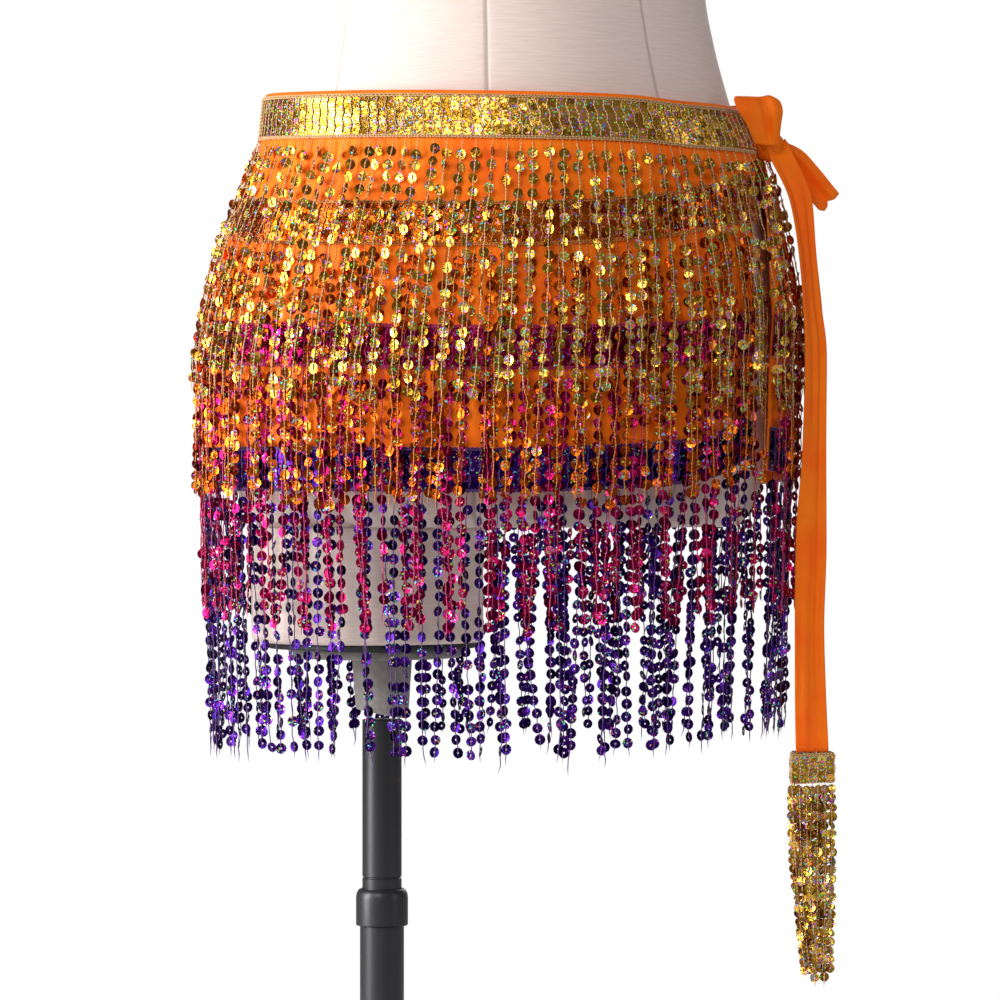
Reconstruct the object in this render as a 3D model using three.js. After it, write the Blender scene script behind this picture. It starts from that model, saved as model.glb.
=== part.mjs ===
// Belly dance hip scarf on a dress form.
//
// Millimetres, +Z up. The origin is the middle of the stand's underside, the pole rises along Z, and the
// form faces -Y. The scarf is one long cloth wrapped round the hips from the knot over the wearer's left
// hip (+X), across the front, round the other hip and the back, and so to the knot again. Four sequin
// tapes run round it, and a fringe hangs from the lower edge of each. The tapes and fringes lie on the
// cloth, so every one of them is made from the cloth's own points, moved out.

import * as THREE from 'three';

// Cloth and trimming.
const CLOTH = 1.2;           // the wall of the orange cloth
const TAPE = 25;             // height of a sequin tape
const FRINGE_LENGTH = 152;   // a strand, from the tape to its tip
const SEAM_GAP = 0.3;        // between pieces that meet

// The wrapped cloth is a grid of points: columns round the hips, rows down the garment.
const COLUMNS = 36;
const STRETCHES = ['front', 'right_hip', 'back', 'left_hip'];

// Upper edge of each sequin tape, by the angle round the hips: 0 is the middle of the front, 90 is the
// hip with the knot, and the angles run on past the other hip and the back to the knot again.
const TAPE_TOPS = [
  { angle: 76, gold: 650, copper: 608, magenta: 531, purple: 470 },
  { angle: 57, gold: 650, copper: 607, magenta: 530, purple: 469 },
  { angle: 46, gold: 650, copper: 603, magenta: 526, purple: 459 },
  { angle: 30, gold: 652, copper: 596, magenta: 522, purple: 453 },
  { angle: 0, gold: 653, copper: 591, magenta: 520, purple: 450 },
  { angle: -45, gold: 656, copper: 594, magenta: 523, purple: 451 },
  { angle: -85, gold: 660, copper: 601, magenta: 527, purple: 451 },
  { angle: -180, gold: 664, copper: 604, magenta: 530, purple: 453 },
  { angle: -240, gold: 659, copper: 603, magenta: 529, purple: 455 },
  { angle: -294, gold: 652, copper: 605, magenta: 530, purple: 463 },
];

// The two ends of the wrapped cloth: they meet the knot at the waist and part below it.
const CLOTH_ENDS = [
  { row: 0, first: 72, last: -274 },
  { row: 1, first: 72, last: -274 },
  { row: 3, first: 64, last: -288 },
  { row: 6, first: 58, last: -294 },
  { row: 15, first: 57, last: -295 },
];

// Inner face of the cloth: half its width, its reach before and behind the middle, and the middle's x.
const WRAP_SECTIONS = [
  { z: 670, half: 141, front: 100, back: 106, middle: 73 },
  { z: 653, half: 143.5, front: 103, back: 109, middle: 74 },
  { z: 628, half: 150, front: 107, back: 116, middle: 77 },
  { z: 600, half: 158, front: 111, back: 124, middle: 76 },
  { z: 575, half: 165, front: 113.5, back: 130, middle: 74 },
  { z: 550, half: 170, front: 115.5, back: 134, middle: 73 },
  { z: 525, half: 173.5, front: 116.5, back: 137, middle: 72 },
  { z: 500, half: 174, front: 116.5, back: 138, middle: 70 },
  { z: 450, half: 173.5, front: 115, back: 136, middle: 69.5 },
  { z: 423, half: 172.5, front: 114, back: 134, middle: 69 },
  { z: 345, half: 170, front: 112, back: 131, middle: 69 },
  { z: 267, half: 167, front: 110, back: 128, middle: 69 },
];

// Each fringe: its rows of the grid, and how far its inner face stands off the cloth's inner face there.
const TAPE_OFFSET = CLOTH + SEAM_GAP;
const TAPE_WALL = 1.2;
const FRINGE_WALL = 2.2;
const FRINGES = {
  gold: { first: 1, offsets: [1.5, 4.0, 4.6, 5.2, 6.2, 6.7, 7.6, 9.4] },
  copper: { first: 4, offsets: [1.5, 3.1, 3.6, 4.6, 6.8, 6.8, 6.8, 6.8] },
  magenta: { first: 7, offsets: [1.5, 4.2, 4.2, 4.2, 4.2, 4.2, 4.2] },
  purple: { first: 10, offsets: [1.5, 1.6, 1.6, 1.6, 1.6, 1.6] },
};
const TAPE_ROWS = { gold: 0, copper: 3, magenta: 6, purple: 9 };

// Strips of cloth at the knot, by the two long edges of each: a is the left edge, b the right.
const STRIP_WALL = 1.4;
const TAIL_OUTER = [
  { ax: 238, ay: -37, az: 618, bx: 250, by: -30, bz: 620 },
  { ax: 242, ay: -38, az: 597, bx: 256, by: -28, bz: 598 },
  { ax: 247, ay: -37, az: 570, bx: 258.5, by: -24, bz: 570 },
  { ax: 250, ay: -34, az: 540, bx: 261.5, by: -19, bz: 540 },
  { ax: 251.5, ay: -32, az: 505, bx: 265.5, by: -18, bz: 505 },
  { ax: 250, ay: -31, az: 450, bx: 265, by: -20, bz: 450 },
  { ax: 246, ay: -29, az: 395, bx: 265, by: -23, bz: 395 },
  { ax: 245.5, ay: -29, az: 345, bx: 263.5, by: -24, bz: 345 },
  { ax: 245.5, ay: -29, az: 305, bx: 264.5, by: -25, bz: 305 },
  { ax: 246, ay: -29, az: 270.3, bx: 266, by: -26, bz: 270.3 },
];
const TAIL_INNER = [
  { ax: 241, ay: -28, az: 616, bx: 250, by: -22, bz: 618 },
  { ax: 247, ay: -29.5, az: 590, bx: 256, by: -20, bz: 591 },
  { ax: 251.5, ay: -27, az: 560, bx: 260, by: -15, bz: 560 },
  { ax: 254, ay: -25, az: 520, bx: 264, by: -11, bz: 520 },
  { ax: 253, ay: -24, az: 470, bx: 265, by: -12, bz: 470 },
  { ax: 250, ay: -22, az: 420, bx: 265, by: -15, bz: 420 },
  { ax: 248.5, ay: -22, az: 360, bx: 263, by: -17, bz: 360 },
  { ax: 248, ay: -22, az: 300, bx: 264, by: -18, bz: 300 },
  { ax: 248, ay: -22, az: 270.3, bx: 265, by: -19, bz: 270.3 },
];
const LOOP_UPPER = [
  { ax: 221.5, ay: -39.5, az: 633, bx: 235.5, by: -36.5, bz: 632 },
  { ax: 215.5, ay: -47, az: 641, bx: 236.5, by: -40, bz: 641 },
  { ax: 209.5, ay: -53, az: 650, bx: 237.5, by: -43, bz: 649 },
  { ax: 208, ay: -53, az: 655, bx: 236, by: -42, bz: 654.5 },
  { ax: 209, ay: -48.5, az: 657, bx: 233, by: -37, bz: 657 },
  { ax: 212, ay: -45, az: 653, bx: 231, by: -33.5, bz: 654 },
  { ax: 218, ay: -41.5, az: 645, bx: 232, by: -31.5, bz: 646 },
  { ax: 224, ay: -35, az: 639.5, bx: 234, by: -30, bz: 639.5 },
];
const LOOP_SIDE = [
  { ax: 240.5, ay: -24, az: 623, bx: 241, by: -21, bz: 635 },
  { ax: 247.5, ay: -19, az: 612, bx: 250, by: -16.5, bz: 629 },
  { ax: 255, ay: -14, az: 600, bx: 261, by: -13.5, bz: 618 },
  { ax: 262, ay: -11.5, az: 593, bx: 271, by: -11.5, bz: 606 },
  { ax: 264.5, ay: -8, az: 593, bx: 273.5, by: -8, bz: 603.5 },
  { ax: 262, ay: -4.5, az: 593.5, bx: 271, by: -4.5, bz: 606 },
  { ax: 255.5, ay: -6, az: 602, bx: 260.5, by: -6, bz: 617 },
  { ax: 248.5, ay: -9.5, az: 613, bx: 249.5, by: -9.5, bz: 627 },
  { ax: 241, ay: -15, az: 624, bx: 241.5, by: -14, bz: 634 },
];
const TIE_FRONT = [
  { ax: 211.9, ay: -30.2, az: 649, bx: 220.9, by: -31.3, bz: 627.5 },
  { ax: 216.5, ay: -28.4, az: 643, bx: 221, by: -29.4, bz: 627.5 },
  { ax: 219.6, ay: -26.5, az: 638.5, bx: 219.8, by: -27, bz: 628 },
];
const TIE_BACK = [
  { ax: 217.8, ay: -9, az: 649.5, bx: 226.6, by: -9, bz: 630 },
  { ax: 220.2, ay: -12, az: 643, bx: 226.6, by: -12, bz: 630 },
  { ax: 222, ay: -14.4, az: 638, bx: 226.3, by: -14.4, bz: 630 },
];
const KNOT = { x: 230, y: -24.5, z: 630.5, rx: 9, ry: 8.6, rz: 9.5 };

// The tape and the tassel at the end of each tail.
const TASSELS = [
  { name: 'outer', x: 256, y: -27.5, turn: 8 },
  { name: 'inner', x: 256.5, y: -20.5, turn: 8 },
];
const TAIL_TAPE = { width: 27, top: 270, bottom: 252, thick: 4 };
const TASSEL = { top: 251.7, bottom: 133, thick: 4.6, topWidth: 28, bottomWidth: 20, drift: 4 };

// Dress form: half its width, its reach before and behind the middle, and the middle's x.
const FORM_SIDES = 32;
const TORSO_SECTIONS = [
  { z: 404, half: 143, front: 94, back: 106, middle: 69.5 },
  { z: 409, half: 148.5, front: 99, back: 112, middle: 69.5 },
  { z: 440, half: 160, front: 106, back: 124, middle: 69.5 },
  { z: 475, half: 164, front: 109, back: 130, middle: 70 },
  { z: 510, half: 165, front: 110, back: 131, middle: 71 },
  { z: 545, half: 162, front: 109.5, back: 128, middle: 73 },
  { z: 575, half: 156.5, front: 107.5, back: 123, middle: 74 },
  { z: 605, half: 148, front: 104, back: 115, middle: 76 },
  { z: 635, half: 139, front: 98, back: 105, middle: 76 },
  { z: 660, half: 132.5, front: 93, back: 99, middle: 75 },
  { z: 690, half: 125.5, front: 88.5, back: 94, middle: 74 },
  { z: 720, half: 121, front: 85.5, back: 90, middle: 73 },
  { z: 752, half: 119, front: 84, back: 87, middle: 73 },
  { z: 790, half: 122, front: 88, back: 88, middle: 73 },
  { z: 830, half: 129, front: 98, back: 92, middle: 73 },
  { z: 870, half: 137, front: 111, back: 97, middle: 73 },
  { z: 905, half: 143, front: 117, back: 100, middle: 73 },
  { z: 940, half: 147, front: 111, back: 101, middle: 73 },
  { z: 975, half: 151, front: 98, back: 99, middle: 73 },
  { z: 1005, half: 151, front: 84, back: 93, middle: 73 },
  { z: 1027, half: 137, front: 72, back: 82, middle: 73 },
  { z: 1042, half: 106, front: 62, back: 70, middle: 73 },
  { z: 1055, half: 70, front: 54, back: 60, middle: 73 },
  { z: 1070, half: 52, front: 49, back: 53, middle: 73 },
  { z: 1100, half: 47, front: 46, back: 48, middle: 73 },
];
const THIGH_SECTIONS = [
  { z: 335.3, half: 67, front: 74, back: 78, middle: -8 },
  { z: 338, half: 69.5, front: 77, back: 81, middle: -8.5 },
  { z: 370, half: 69.5, front: 78, back: 83, middle: -8.8 },
  { z: 403.7, half: 68.5, front: 80, back: 86, middle: -6.5 },
];
const THIGH_RIM = { half: 63, depth: 72, top: 335, bottom: 331.7, middle: -6 };
const THIGH_CAP = { half: 52, depth: 60, top: 331.4, bottom: 326, middle: -4 };
const NECK_CAP = { radius: 45, bottom: 1100.3, top: 1108, middle: 73 };

// Stand.
const SOCKET = { topRadius: 18, bottomRadius: 15.6, top: 325.7, bottom: 292, slant: 3 };
const POLE = { radius: 11.8, top: 288.5, bottom: 60 };
const TUBE = { outer: 13.2, inner: 12.3, top: 178, bottom: 12.3 };
const COLLAR = { outer: 15.6, seat: 13.6, bore: 12.3, top: 187, shoulder: 183, step: 178.4, bottom: 165 };
const BASE = { radius: 165, top: 12, edge: 3 };

const FINISHES = {
  cloth: { color: 0xff6a00, roughness: 0.75, metalness: 0 },
  gold: { color: 0xc79a2c, roughness: 0.3, metalness: 0.8 },
  copper: { color: 0xc8641c, roughness: 0.3, metalness: 0.8 },
  magenta: { color: 0xb0115a, roughness: 0.3, metalness: 0.7 },
  purple: { color: 0x3a1878, roughness: 0.3, metalness: 0.7 },
  linen: { color: 0xe0cdc6, roughness: 0.9, metalness: 0 },
  rim: { color: 0x161412, roughness: 0.6, metalness: 0 },
  cap: { color: 0x8d8680, roughness: 0.6, metalness: 0 },
  steel: { color: 0x1b1a22, roughness: 0.4, metalness: 0.6 },
};

const root = new THREE.Group();

/** Adds a named piece with one of the finishes to a group. */
function addPiece(group, name, geometry, finish) {
  const mesh = new THREE.Mesh(geometry, new THREE.MeshStandardMaterial(FINISHES[finish]));
  mesh.name = name;
  group.add(mesh);
  return mesh;
}

/** The value of a column of a table at a place along its key column, straight between rows. */
function lookUp(table, key, column, at) {
  const rising = table[0][key] < table[table.length - 1][key];
  const rows = rising ? table : [...table].reverse();
  if (at <= rows[0][key]) return rows[0][column];
  for (let i = 1; i < rows.length; i += 1) {
    if (at <= rows[i][key]) {
      const share = (at - rows[i - 1][key]) / (rows[i][key] - rows[i - 1][key]);
      return THREE.MathUtils.lerp(rows[i - 1][column], rows[i][column], share);
    }
  }
  return rows[rows.length - 1][column];
}

/** A closed solid from points and triangles, turned so that its faces point out. */
function closedSolid(points, triangles) {
  let volume = 0;
  for (const [a, b, c] of triangles) {
    const crossed = new THREE.Vector3().crossVectors(points[b], points[c]);
    volume += points[a].dot(crossed);
  }
  const facing = volume < 0 ? triangles.map(([a, b, c]) => [a, c, b]) : triangles;
  const geometry = new THREE.BufferGeometry();
  geometry.setFromPoints(points);
  geometry.setIndex(facing.flat());
  geometry.computeVertexNormals();
  return geometry;
}

/** The solid between two grids of points that have the same rows and columns. */
function wallBetween(outer, inner) {
  const rows = outer.length;
  const columns = outer[0].length;
  const points = [...outer.flat(), ...inner.flat()];
  const at = (side, row, column) => (side * rows + row) * columns + column;
  const triangles = [];
  const quad = (a, b, c, d) => triangles.push([a, b, c], [a, c, d]);
  for (let row = 0; row < rows - 1; row += 1) {
    for (let column = 0; column < columns - 1; column += 1) {
      quad(at(0, row, column), at(0, row + 1, column), at(0, row + 1, column + 1), at(0, row, column + 1));
      quad(at(1, row, column), at(1, row, column + 1), at(1, row + 1, column + 1), at(1, row + 1, column));
    }
    const end = columns - 1;
    quad(at(0, row, 0), at(1, row, 0), at(1, row + 1, 0), at(0, row + 1, 0));
    quad(at(0, row, end), at(0, row + 1, end), at(1, row + 1, end), at(1, row, end));
  }
  for (let column = 0; column < columns - 1; column += 1) {
    const last = rows - 1;
    quad(at(0, 0, column), at(0, 0, column + 1), at(1, 0, column + 1), at(1, 0, column));
    quad(at(0, last, column), at(1, last, column), at(1, last, column + 1), at(0, last, column + 1));
  }
  return closedSolid(points, triangles);
}

/** A closed solid through rings of points, with flat ends. */
function loftRings(rings) {
  const sides = rings[0].length;
  const points = rings.flat();
  const triangles = [];
  for (let ring = 0; ring < rings.length - 1; ring += 1) {
    for (let side = 0; side < sides; side += 1) {
      const next = (side + 1) % sides;
      const low = ring * sides;
      const high = low + sides;
      triangles.push([low + side, low + next, high + next], [low + side, high + next, high + side]);
    }
  }
  for (const [ring, flip] of [[0, true], [rings.length - 1, false]]) {
    const centre = points.length;
    const sum = rings[ring].reduce((total, point) => total.add(point), new THREE.Vector3());
    points.push(sum.divideScalar(sides));
    for (let side = 0; side < sides; side += 1) {
      const here = ring * sides + side;
      const next = ring * sides + (side + 1) % sides;
      triangles.push(flip ? [centre, next, here] : [centre, here, next]);
    }
  }
  return closedSolid(points, triangles);
}

/** A point of an oval section whose front and back reach differ, at an angle from the front. */
function ovalPoint(section, degrees, z) {
  const angle = THREE.MathUtils.degToRad(degrees);
  const reach = Math.cos(angle) > 0 ? section.front : section.back;
  return new THREE.Vector3(section.middle + section.half * Math.sin(angle), -reach * Math.cos(angle), z);
}

/** The section of a table of sections at a height. */
function sectionAt(table, z) {
  const section = {};
  for (const column of ['half', 'front', 'back', 'middle']) {
    section[column] = lookUp(table, 'z', column, z);
  }
  return section;
}

/** Heights of the rows of the wrapped cloth at an angle, from its upper edge to the lowest fringe tip. */
function rowHeights(degrees) {
  const top = {};
  for (const colour of Object.keys(TAPE_ROWS)) {
    top[colour] = lookUp(TAPE_TOPS, 'angle', colour, degrees);
  }
  const tapeEnd = (colour) => top[colour] - TAPE;
  const fringeEnd = (colour) => top[colour] - TAPE - FRINGE_LENGTH;
  const between = (a, b) => (a + b) / 2;
  return [
    top.gold,
    tapeEnd('gold'),
    between(tapeEnd('gold'), top.copper),
    top.copper,
    tapeEnd('copper'),
    between(tapeEnd('copper'), top.magenta),
    top.magenta,
    tapeEnd('magenta'),
    fringeEnd('gold'),
    top.purple,
    tapeEnd('purple'),
    fringeEnd('copper'),
    between(fringeEnd('copper'), fringeEnd('magenta')),
    fringeEnd('magenta'),
    between(fringeEnd('magenta'), fringeEnd('purple')),
    fringeEnd('purple'),
  ];
}

/** The angle of a column of the cloth in one of its rows. */
function angleAt(row, column) {
  const first = lookUp(CLOTH_ENDS, 'row', 'first', row);
  const last = lookUp(CLOTH_ENDS, 'row', 'last', row);
  return THREE.MathUtils.lerp(first, last, column / COLUMNS);
}

/** The way out of the cloth in a column: level, and the same in all its rows. */
function outwardAt(column) {
  const middleRow = 8;
  const angle = THREE.MathUtils.degToRad(angleAt(middleRow, column));
  const section = sectionAt(WRAP_SECTIONS, rowHeights(0)[middleRow]);
  const reach = Math.cos(angle) > 0 ? section.front : section.back;
  return new THREE.Vector3(Math.sin(angle) / section.half, -Math.cos(angle) / reach, 0).normalize();
}

/** The grid of points on the inner face of the cloth, moved out by an offset in each row. */
function clothGrid(firstRow, offsets, firstColumn, lastColumn) {
  const grid = offsets.map((offset, index) => {
    const row = firstRow + index;
    const points = [];
    for (let column = firstColumn; column <= lastColumn; column += 1) {
      const angle = angleAt(row, column);
      const z = rowHeights(angle)[row];
      const point = ovalPoint(sectionAt(WRAP_SECTIONS, z), angle, z);
      points.push(point.addScaledVector(outwardAt(column), offset));
    }
    return points;
  });
  // A stretch ends just short of its neighbour.
  for (const points of grid) {
    const end = points.length - 1;
    const [first, second, last, beforeLast] = [points[0], points[1], points[end], points[end - 1]];
    if (firstColumn > 0) first.lerp(second, SEAM_GAP / 2 / first.distanceTo(second));
    if (lastColumn < COLUMNS) last.lerp(beforeLast, SEAM_GAP / 2 / last.distanceTo(beforeLast));
  }
  return grid;
}

/** A wall on the cloth's grid, with its inner face at the offsets and of one thickness. */
function clothWall(firstRow, offsets, thickness, firstColumn = 0, lastColumn = COLUMNS) {
  const inner = clothGrid(firstRow, offsets, firstColumn, lastColumn);
  const raised = offsets.map((offset) => offset + thickness);
  return wallBetween(clothGrid(firstRow, raised, firstColumn, lastColumn), inner);
}

/** A strip of cloth of one thickness between two long edges. */
function stripWall(stations, thickness) {
  const left = stations.map((s) => new THREE.Vector3(s.ax, s.ay, s.az));
  const right = stations.map((s) => new THREE.Vector3(s.bx, s.by, s.bz));
  const middle = left.map((point, i) => point.clone().add(right[i]).multiplyScalar(0.5));
  const faces = [1, -1].map((side) => stations.map((_, i) => {
    const before = middle[Math.max(i - 1, 0)];
    const after = middle[Math.min(i + 1, stations.length - 1)];
    const along = after.clone().sub(before);
    const across = right[i].clone().sub(left[i]);
    const out = across.cross(along).normalize().multiplyScalar(side * thickness / 2);
    return [left[i], middle[i], right[i]].map((point) => point.clone().add(out));
  }));
  return wallBetween(faces[0], faces[1]);
}

/** A flat-ended solid through the sections of a table, each an oval. */
function ovalLoft(sections, sides) {
  const rings = sections.map((section) => {
    const ring = [];
    for (let side = 0; side < sides; side += 1) {
      ring.push(ovalPoint(section, (side * 360) / sides, section.z));
    }
    return ring;
  });
  return loftRings(rings);
}

/** A round solid about Z from a closed outline of radius and height. */
function turned(outline, sides) {
  const points = outline.map(([radius, z]) => new THREE.Vector2(radius, z));
  const geometry = new THREE.LatheGeometry(points, sides);
  geometry.rotateX(Math.PI / 2);
  return geometry;
}

/** The wrapped cloth, a piece for each stretch that shows. */
function buildWrap(group) {
  const lastRow = TAPE_ROWS.purple + 1;
  const offsets = Array(lastRow + 1).fill(0);
  const share = COLUMNS / STRETCHES.length;
  STRETCHES.forEach((stretch, i) => {
    addPiece(group, `wrap_${stretch}`, clothWall(0, offsets, CLOTH, i * share, (i + 1) * share), 'cloth');
  });
}

/** The four sequin tapes sewn round the cloth. */
function buildTapes(group) {
  for (const [colour, row] of Object.entries(TAPE_ROWS)) {
    addPiece(group, `tape_${colour}`, clothWall(row, [TAPE_OFFSET, TAPE_OFFSET], TAPE_WALL), colour);
  }
}

/** The fringe under each tape. The lowest hangs free, so it is a piece for each stretch. */
function buildFringes(group) {
  const share = COLUMNS / STRETCHES.length;
  for (const [colour, { first, offsets }] of Object.entries(FRINGES)) {
    // A fringe starts just below the tape that it hangs from.
    if (colour !== 'purple') {
      addPiece(group, `fringe_${colour}`, hangingWall(first, offsets), colour);
    } else {
      STRETCHES.forEach((stretch, i) => {
        const wall = hangingWall(first, offsets, i * share, (i + 1) * share);
        addPiece(group, `fringe_${colour}_${stretch}`, wall, colour);
      });
    }
  }
}

/** A fringe's wall, whose upper edge is lowered by the gap to its tape. */
function hangingWall(firstRow, offsets, firstColumn = 0, lastColumn = COLUMNS) {
  const raised = offsets.map((offset) => offset + FRINGE_WALL);
  const faces = [raised, offsets].map((row) => clothGrid(firstRow, row, firstColumn, lastColumn));
  for (const face of faces) {
    face[0].forEach((point, i) => point.lerp(face[1][i], SEAM_GAP / point.distanceTo(face[1][i])));
  }
  return wallBetween(faces[0], faces[1]);
}

/** The tie: the two ends of the waist, the knot, its two loops and its two tails. */
function buildTie(group) {
  const strips = {
    tie_front_end: TIE_FRONT,
    tie_back_end: TIE_BACK,
    bow_loop_upper: LOOP_UPPER,
    bow_loop_side: LOOP_SIDE,
    tail_outer: TAIL_OUTER,
    tail_inner: TAIL_INNER,
  };
  for (const [name, stations] of Object.entries(strips)) {
    addPiece(group, name, stripWall(stations, STRIP_WALL), 'cloth');
  }
  const ball = new THREE.SphereGeometry(1, 16, 10);
  ball.scale(KNOT.rx, KNOT.ry, KNOT.rz);
  addPiece(group, 'knot', ball, 'cloth').position.set(KNOT.x, KNOT.y, KNOT.z);
}

/** The sequin tape and the tassel on the end of each tail. */
function buildTassels(group) {
  for (const { name, x, y, turn } of TASSELS) {
    const end = new THREE.Group();
    end.position.set(x, y, 0);
    end.rotation.z = THREE.MathUtils.degToRad(turn);
    group.add(end);
    const height = TAIL_TAPE.top - TAIL_TAPE.bottom;
    const tape = new THREE.BoxGeometry(TAIL_TAPE.width, TAIL_TAPE.thick, height);
    tape.translate(0, 0, TAIL_TAPE.bottom + height / 2);
    addPiece(end, `tail_tape_${name}`, tape, 'gold');
    const slice = (z, width, shift) => {
      const [w, t] = [width / 2, TASSEL.thick / 2];
      const corners = [[-w, -t], [w, -t], [w, t], [-w, t]];
      return corners.map(([cx, cy]) => new THREE.Vector3(cx + shift, cy, z));
    };
    const tassel = loftRings([
      slice(TASSEL.bottom, TASSEL.bottomWidth, TASSEL.drift),
      slice((TASSEL.top + TASSEL.bottom) / 2, TASSEL.topWidth, 0),
      slice(TASSEL.top, TASSEL.topWidth, 0),
    ]);
    addPiece(end, `tassel_${name}`, tassel, 'gold');
  }
}

/** The dress form: torso, thigh stub with its rim and cap, and the neck's cap. */
function buildForm(group) {
  addPiece(group, 'form_torso', ovalLoft(TORSO_SECTIONS, FORM_SIDES), 'linen');
  addPiece(group, 'form_thigh', ovalLoft(THIGH_SECTIONS, FORM_SIDES - 8), 'linen');
  for (const [name, plate, finish] of [['thigh_rim', THIGH_RIM, 'rim'], ['thigh_cap', THIGH_CAP, 'cap']]) {
    const oval = { half: plate.half, front: plate.depth, back: plate.depth, middle: plate.middle };
    const sections = [{ z: plate.bottom, ...oval }, { z: plate.top, ...oval }];
    addPiece(group, name, ovalLoft(sections, FORM_SIDES - 8), finish);
  }
  const cap = new THREE.CylinderGeometry(NECK_CAP.radius - 1, NECK_CAP.radius, NECK_CAP.top - NECK_CAP.bottom, 24);
  cap.rotateX(Math.PI / 2);
  addPiece(group, 'neck_cap', cap, 'cap').position.set(
    NECK_CAP.middle, 0, (NECK_CAP.top + NECK_CAP.bottom) / 2,
  );
}

/** The stand: socket under the thigh, pole, collar, lower tube and round base. */
function buildStand(group) {
  const ring = (radius, z, slant) => {
    const points = [];
    for (let side = 0; side < 24; side += 1) {
      const angle = (side * Math.PI * 2) / 24;
      const x = radius * Math.cos(angle);
      points.push(new THREE.Vector3(x, radius * Math.sin(angle), z - (slant * x) / radius));
    }
    return points;
  };
  const socket = loftRings([
    ring(SOCKET.bottomRadius, SOCKET.bottom, SOCKET.slant),
    ring(SOCKET.topRadius, SOCKET.top, 0),
  ]);
  addPiece(group, 'pole_socket', socket, 'cap');
  const pole = [[0, POLE.bottom], [POLE.radius, POLE.bottom], [POLE.radius, POLE.top], [0, POLE.top]];
  addPiece(group, 'pole', turned(pole, 24), 'steel');
  const collar = [
    [COLLAR.bore, COLLAR.step],
    [COLLAR.seat, COLLAR.step],
    [COLLAR.seat, COLLAR.bottom],
    [COLLAR.outer, COLLAR.bottom],
    [COLLAR.outer, COLLAR.shoulder],
    [COLLAR.bore + 1, COLLAR.top],
    [COLLAR.bore, COLLAR.top],
    [COLLAR.bore, COLLAR.step],
  ];
  addPiece(group, 'pole_collar', turned(collar, 24), 'steel');
  const tube = [
    [TUBE.inner, TUBE.bottom],
    [TUBE.outer, TUBE.bottom],
    [TUBE.outer, TUBE.top],
    [TUBE.inner, TUBE.top],
    [TUBE.inner, TUBE.bottom],
  ];
  addPiece(group, 'lower_tube', turned(tube, 24), 'steel');
  const base = [
    [0, 0],
    [BASE.radius, 0],
    [BASE.radius, BASE.top - BASE.edge],
    [BASE.radius - BASE.edge, BASE.top],
    [0, BASE.top],
  ];
  addPiece(group, 'stand_base', turned(base, 48), 'steel');
}

buildForm(root);
buildStand(root);
buildWrap(root);
buildTapes(root);
buildFringes(root);
buildTie(root);
buildTassels(root);

export default root;
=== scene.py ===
import bpy
import math
import numpy as np
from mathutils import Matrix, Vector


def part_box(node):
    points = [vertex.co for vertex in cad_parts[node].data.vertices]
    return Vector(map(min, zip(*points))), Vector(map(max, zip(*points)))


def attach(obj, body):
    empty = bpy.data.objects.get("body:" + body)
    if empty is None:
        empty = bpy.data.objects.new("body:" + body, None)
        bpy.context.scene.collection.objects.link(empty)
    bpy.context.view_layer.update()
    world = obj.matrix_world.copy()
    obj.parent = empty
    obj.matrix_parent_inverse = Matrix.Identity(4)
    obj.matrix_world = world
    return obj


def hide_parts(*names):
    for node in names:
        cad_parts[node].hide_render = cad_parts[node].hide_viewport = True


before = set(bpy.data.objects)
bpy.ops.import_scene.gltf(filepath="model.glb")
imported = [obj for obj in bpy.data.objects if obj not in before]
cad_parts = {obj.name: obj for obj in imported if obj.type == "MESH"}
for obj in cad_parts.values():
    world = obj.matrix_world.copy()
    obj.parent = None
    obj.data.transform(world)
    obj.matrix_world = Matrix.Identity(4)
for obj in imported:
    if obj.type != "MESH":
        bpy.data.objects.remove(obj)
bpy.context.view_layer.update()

# Belly dance hip scarf on a dress form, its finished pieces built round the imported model.
MM = 0.001


# ---- Studio ----------------------------------------------------------------------------------------
# A level camera in front of the hips, a tall soft box at the form's right side, and weaker ones in front,
# at its left side and behind, in a white room whose reflections are dim. The floor is a round of board.
def place_camera(x, height, distance, field):
    """A level camera that looks along +Y and takes in a field of that width at the form's middle."""
    data = bpy.data.cameras.new("camera")
    data.sensor_width = 36.0
    data.lens = 36.0 * distance / field
    data.clip_end = 50.0
    camera = bpy.data.objects.new("camera", data)
    camera.location = (x, -distance, height)
    camera.rotation_euler = (math.pi / 2, 0, 0)
    bpy.context.scene.collection.objects.link(camera)
    bpy.context.scene.camera = camera


def soft_box(name, place, target, size, watts, colour=(1.0, 1.0, 1.0)):
    """A rectangular soft light at a place, facing a target."""
    data = bpy.data.lights.new(name, "AREA")
    data.shape = "RECTANGLE"
    data.size, data.size_y = size
    data.energy = watts
    data.color = colour
    lamp = bpy.data.objects.new(name, data)
    lamp.location = place
    toward = np.array(target, float) - np.array(place, float)
    lamp.rotation_euler = (
        math.acos(-toward[2] / np.linalg.norm(toward)),
        0,
        math.atan2(toward[1], toward[0]) - math.pi / 2,
    )
    bpy.context.scene.collection.objects.link(lamp)


def add_node(nodes, kind, values=None, **settings):
    """A shader node of a kind, with the values of its inputs and its settings."""
    node = nodes.new("ShaderNode" + kind)
    for key, value in settings.items():
        setattr(node, key, value)
    for key, value in (values or {}).items():
        node.inputs[key].default_value = value
    return node


def two_tones(nodes, low, dark, high, light):
    """A ramp from one colour at a low value to another at a high one."""
    ramp = add_node(nodes, "ValToRGB")
    for end, position, colour in zip(ramp.color_ramp.elements, (low, high), (dark, light)):
        end.position = position
        end.color = (*colour, 1)
    return ramp


def join(links, *runs):
    """Links nodes, each run being a node, its output, the next node and its input."""
    for source, output, target, entry in runs:
        links.new(source.outputs[output], target.inputs[entry])


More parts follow.
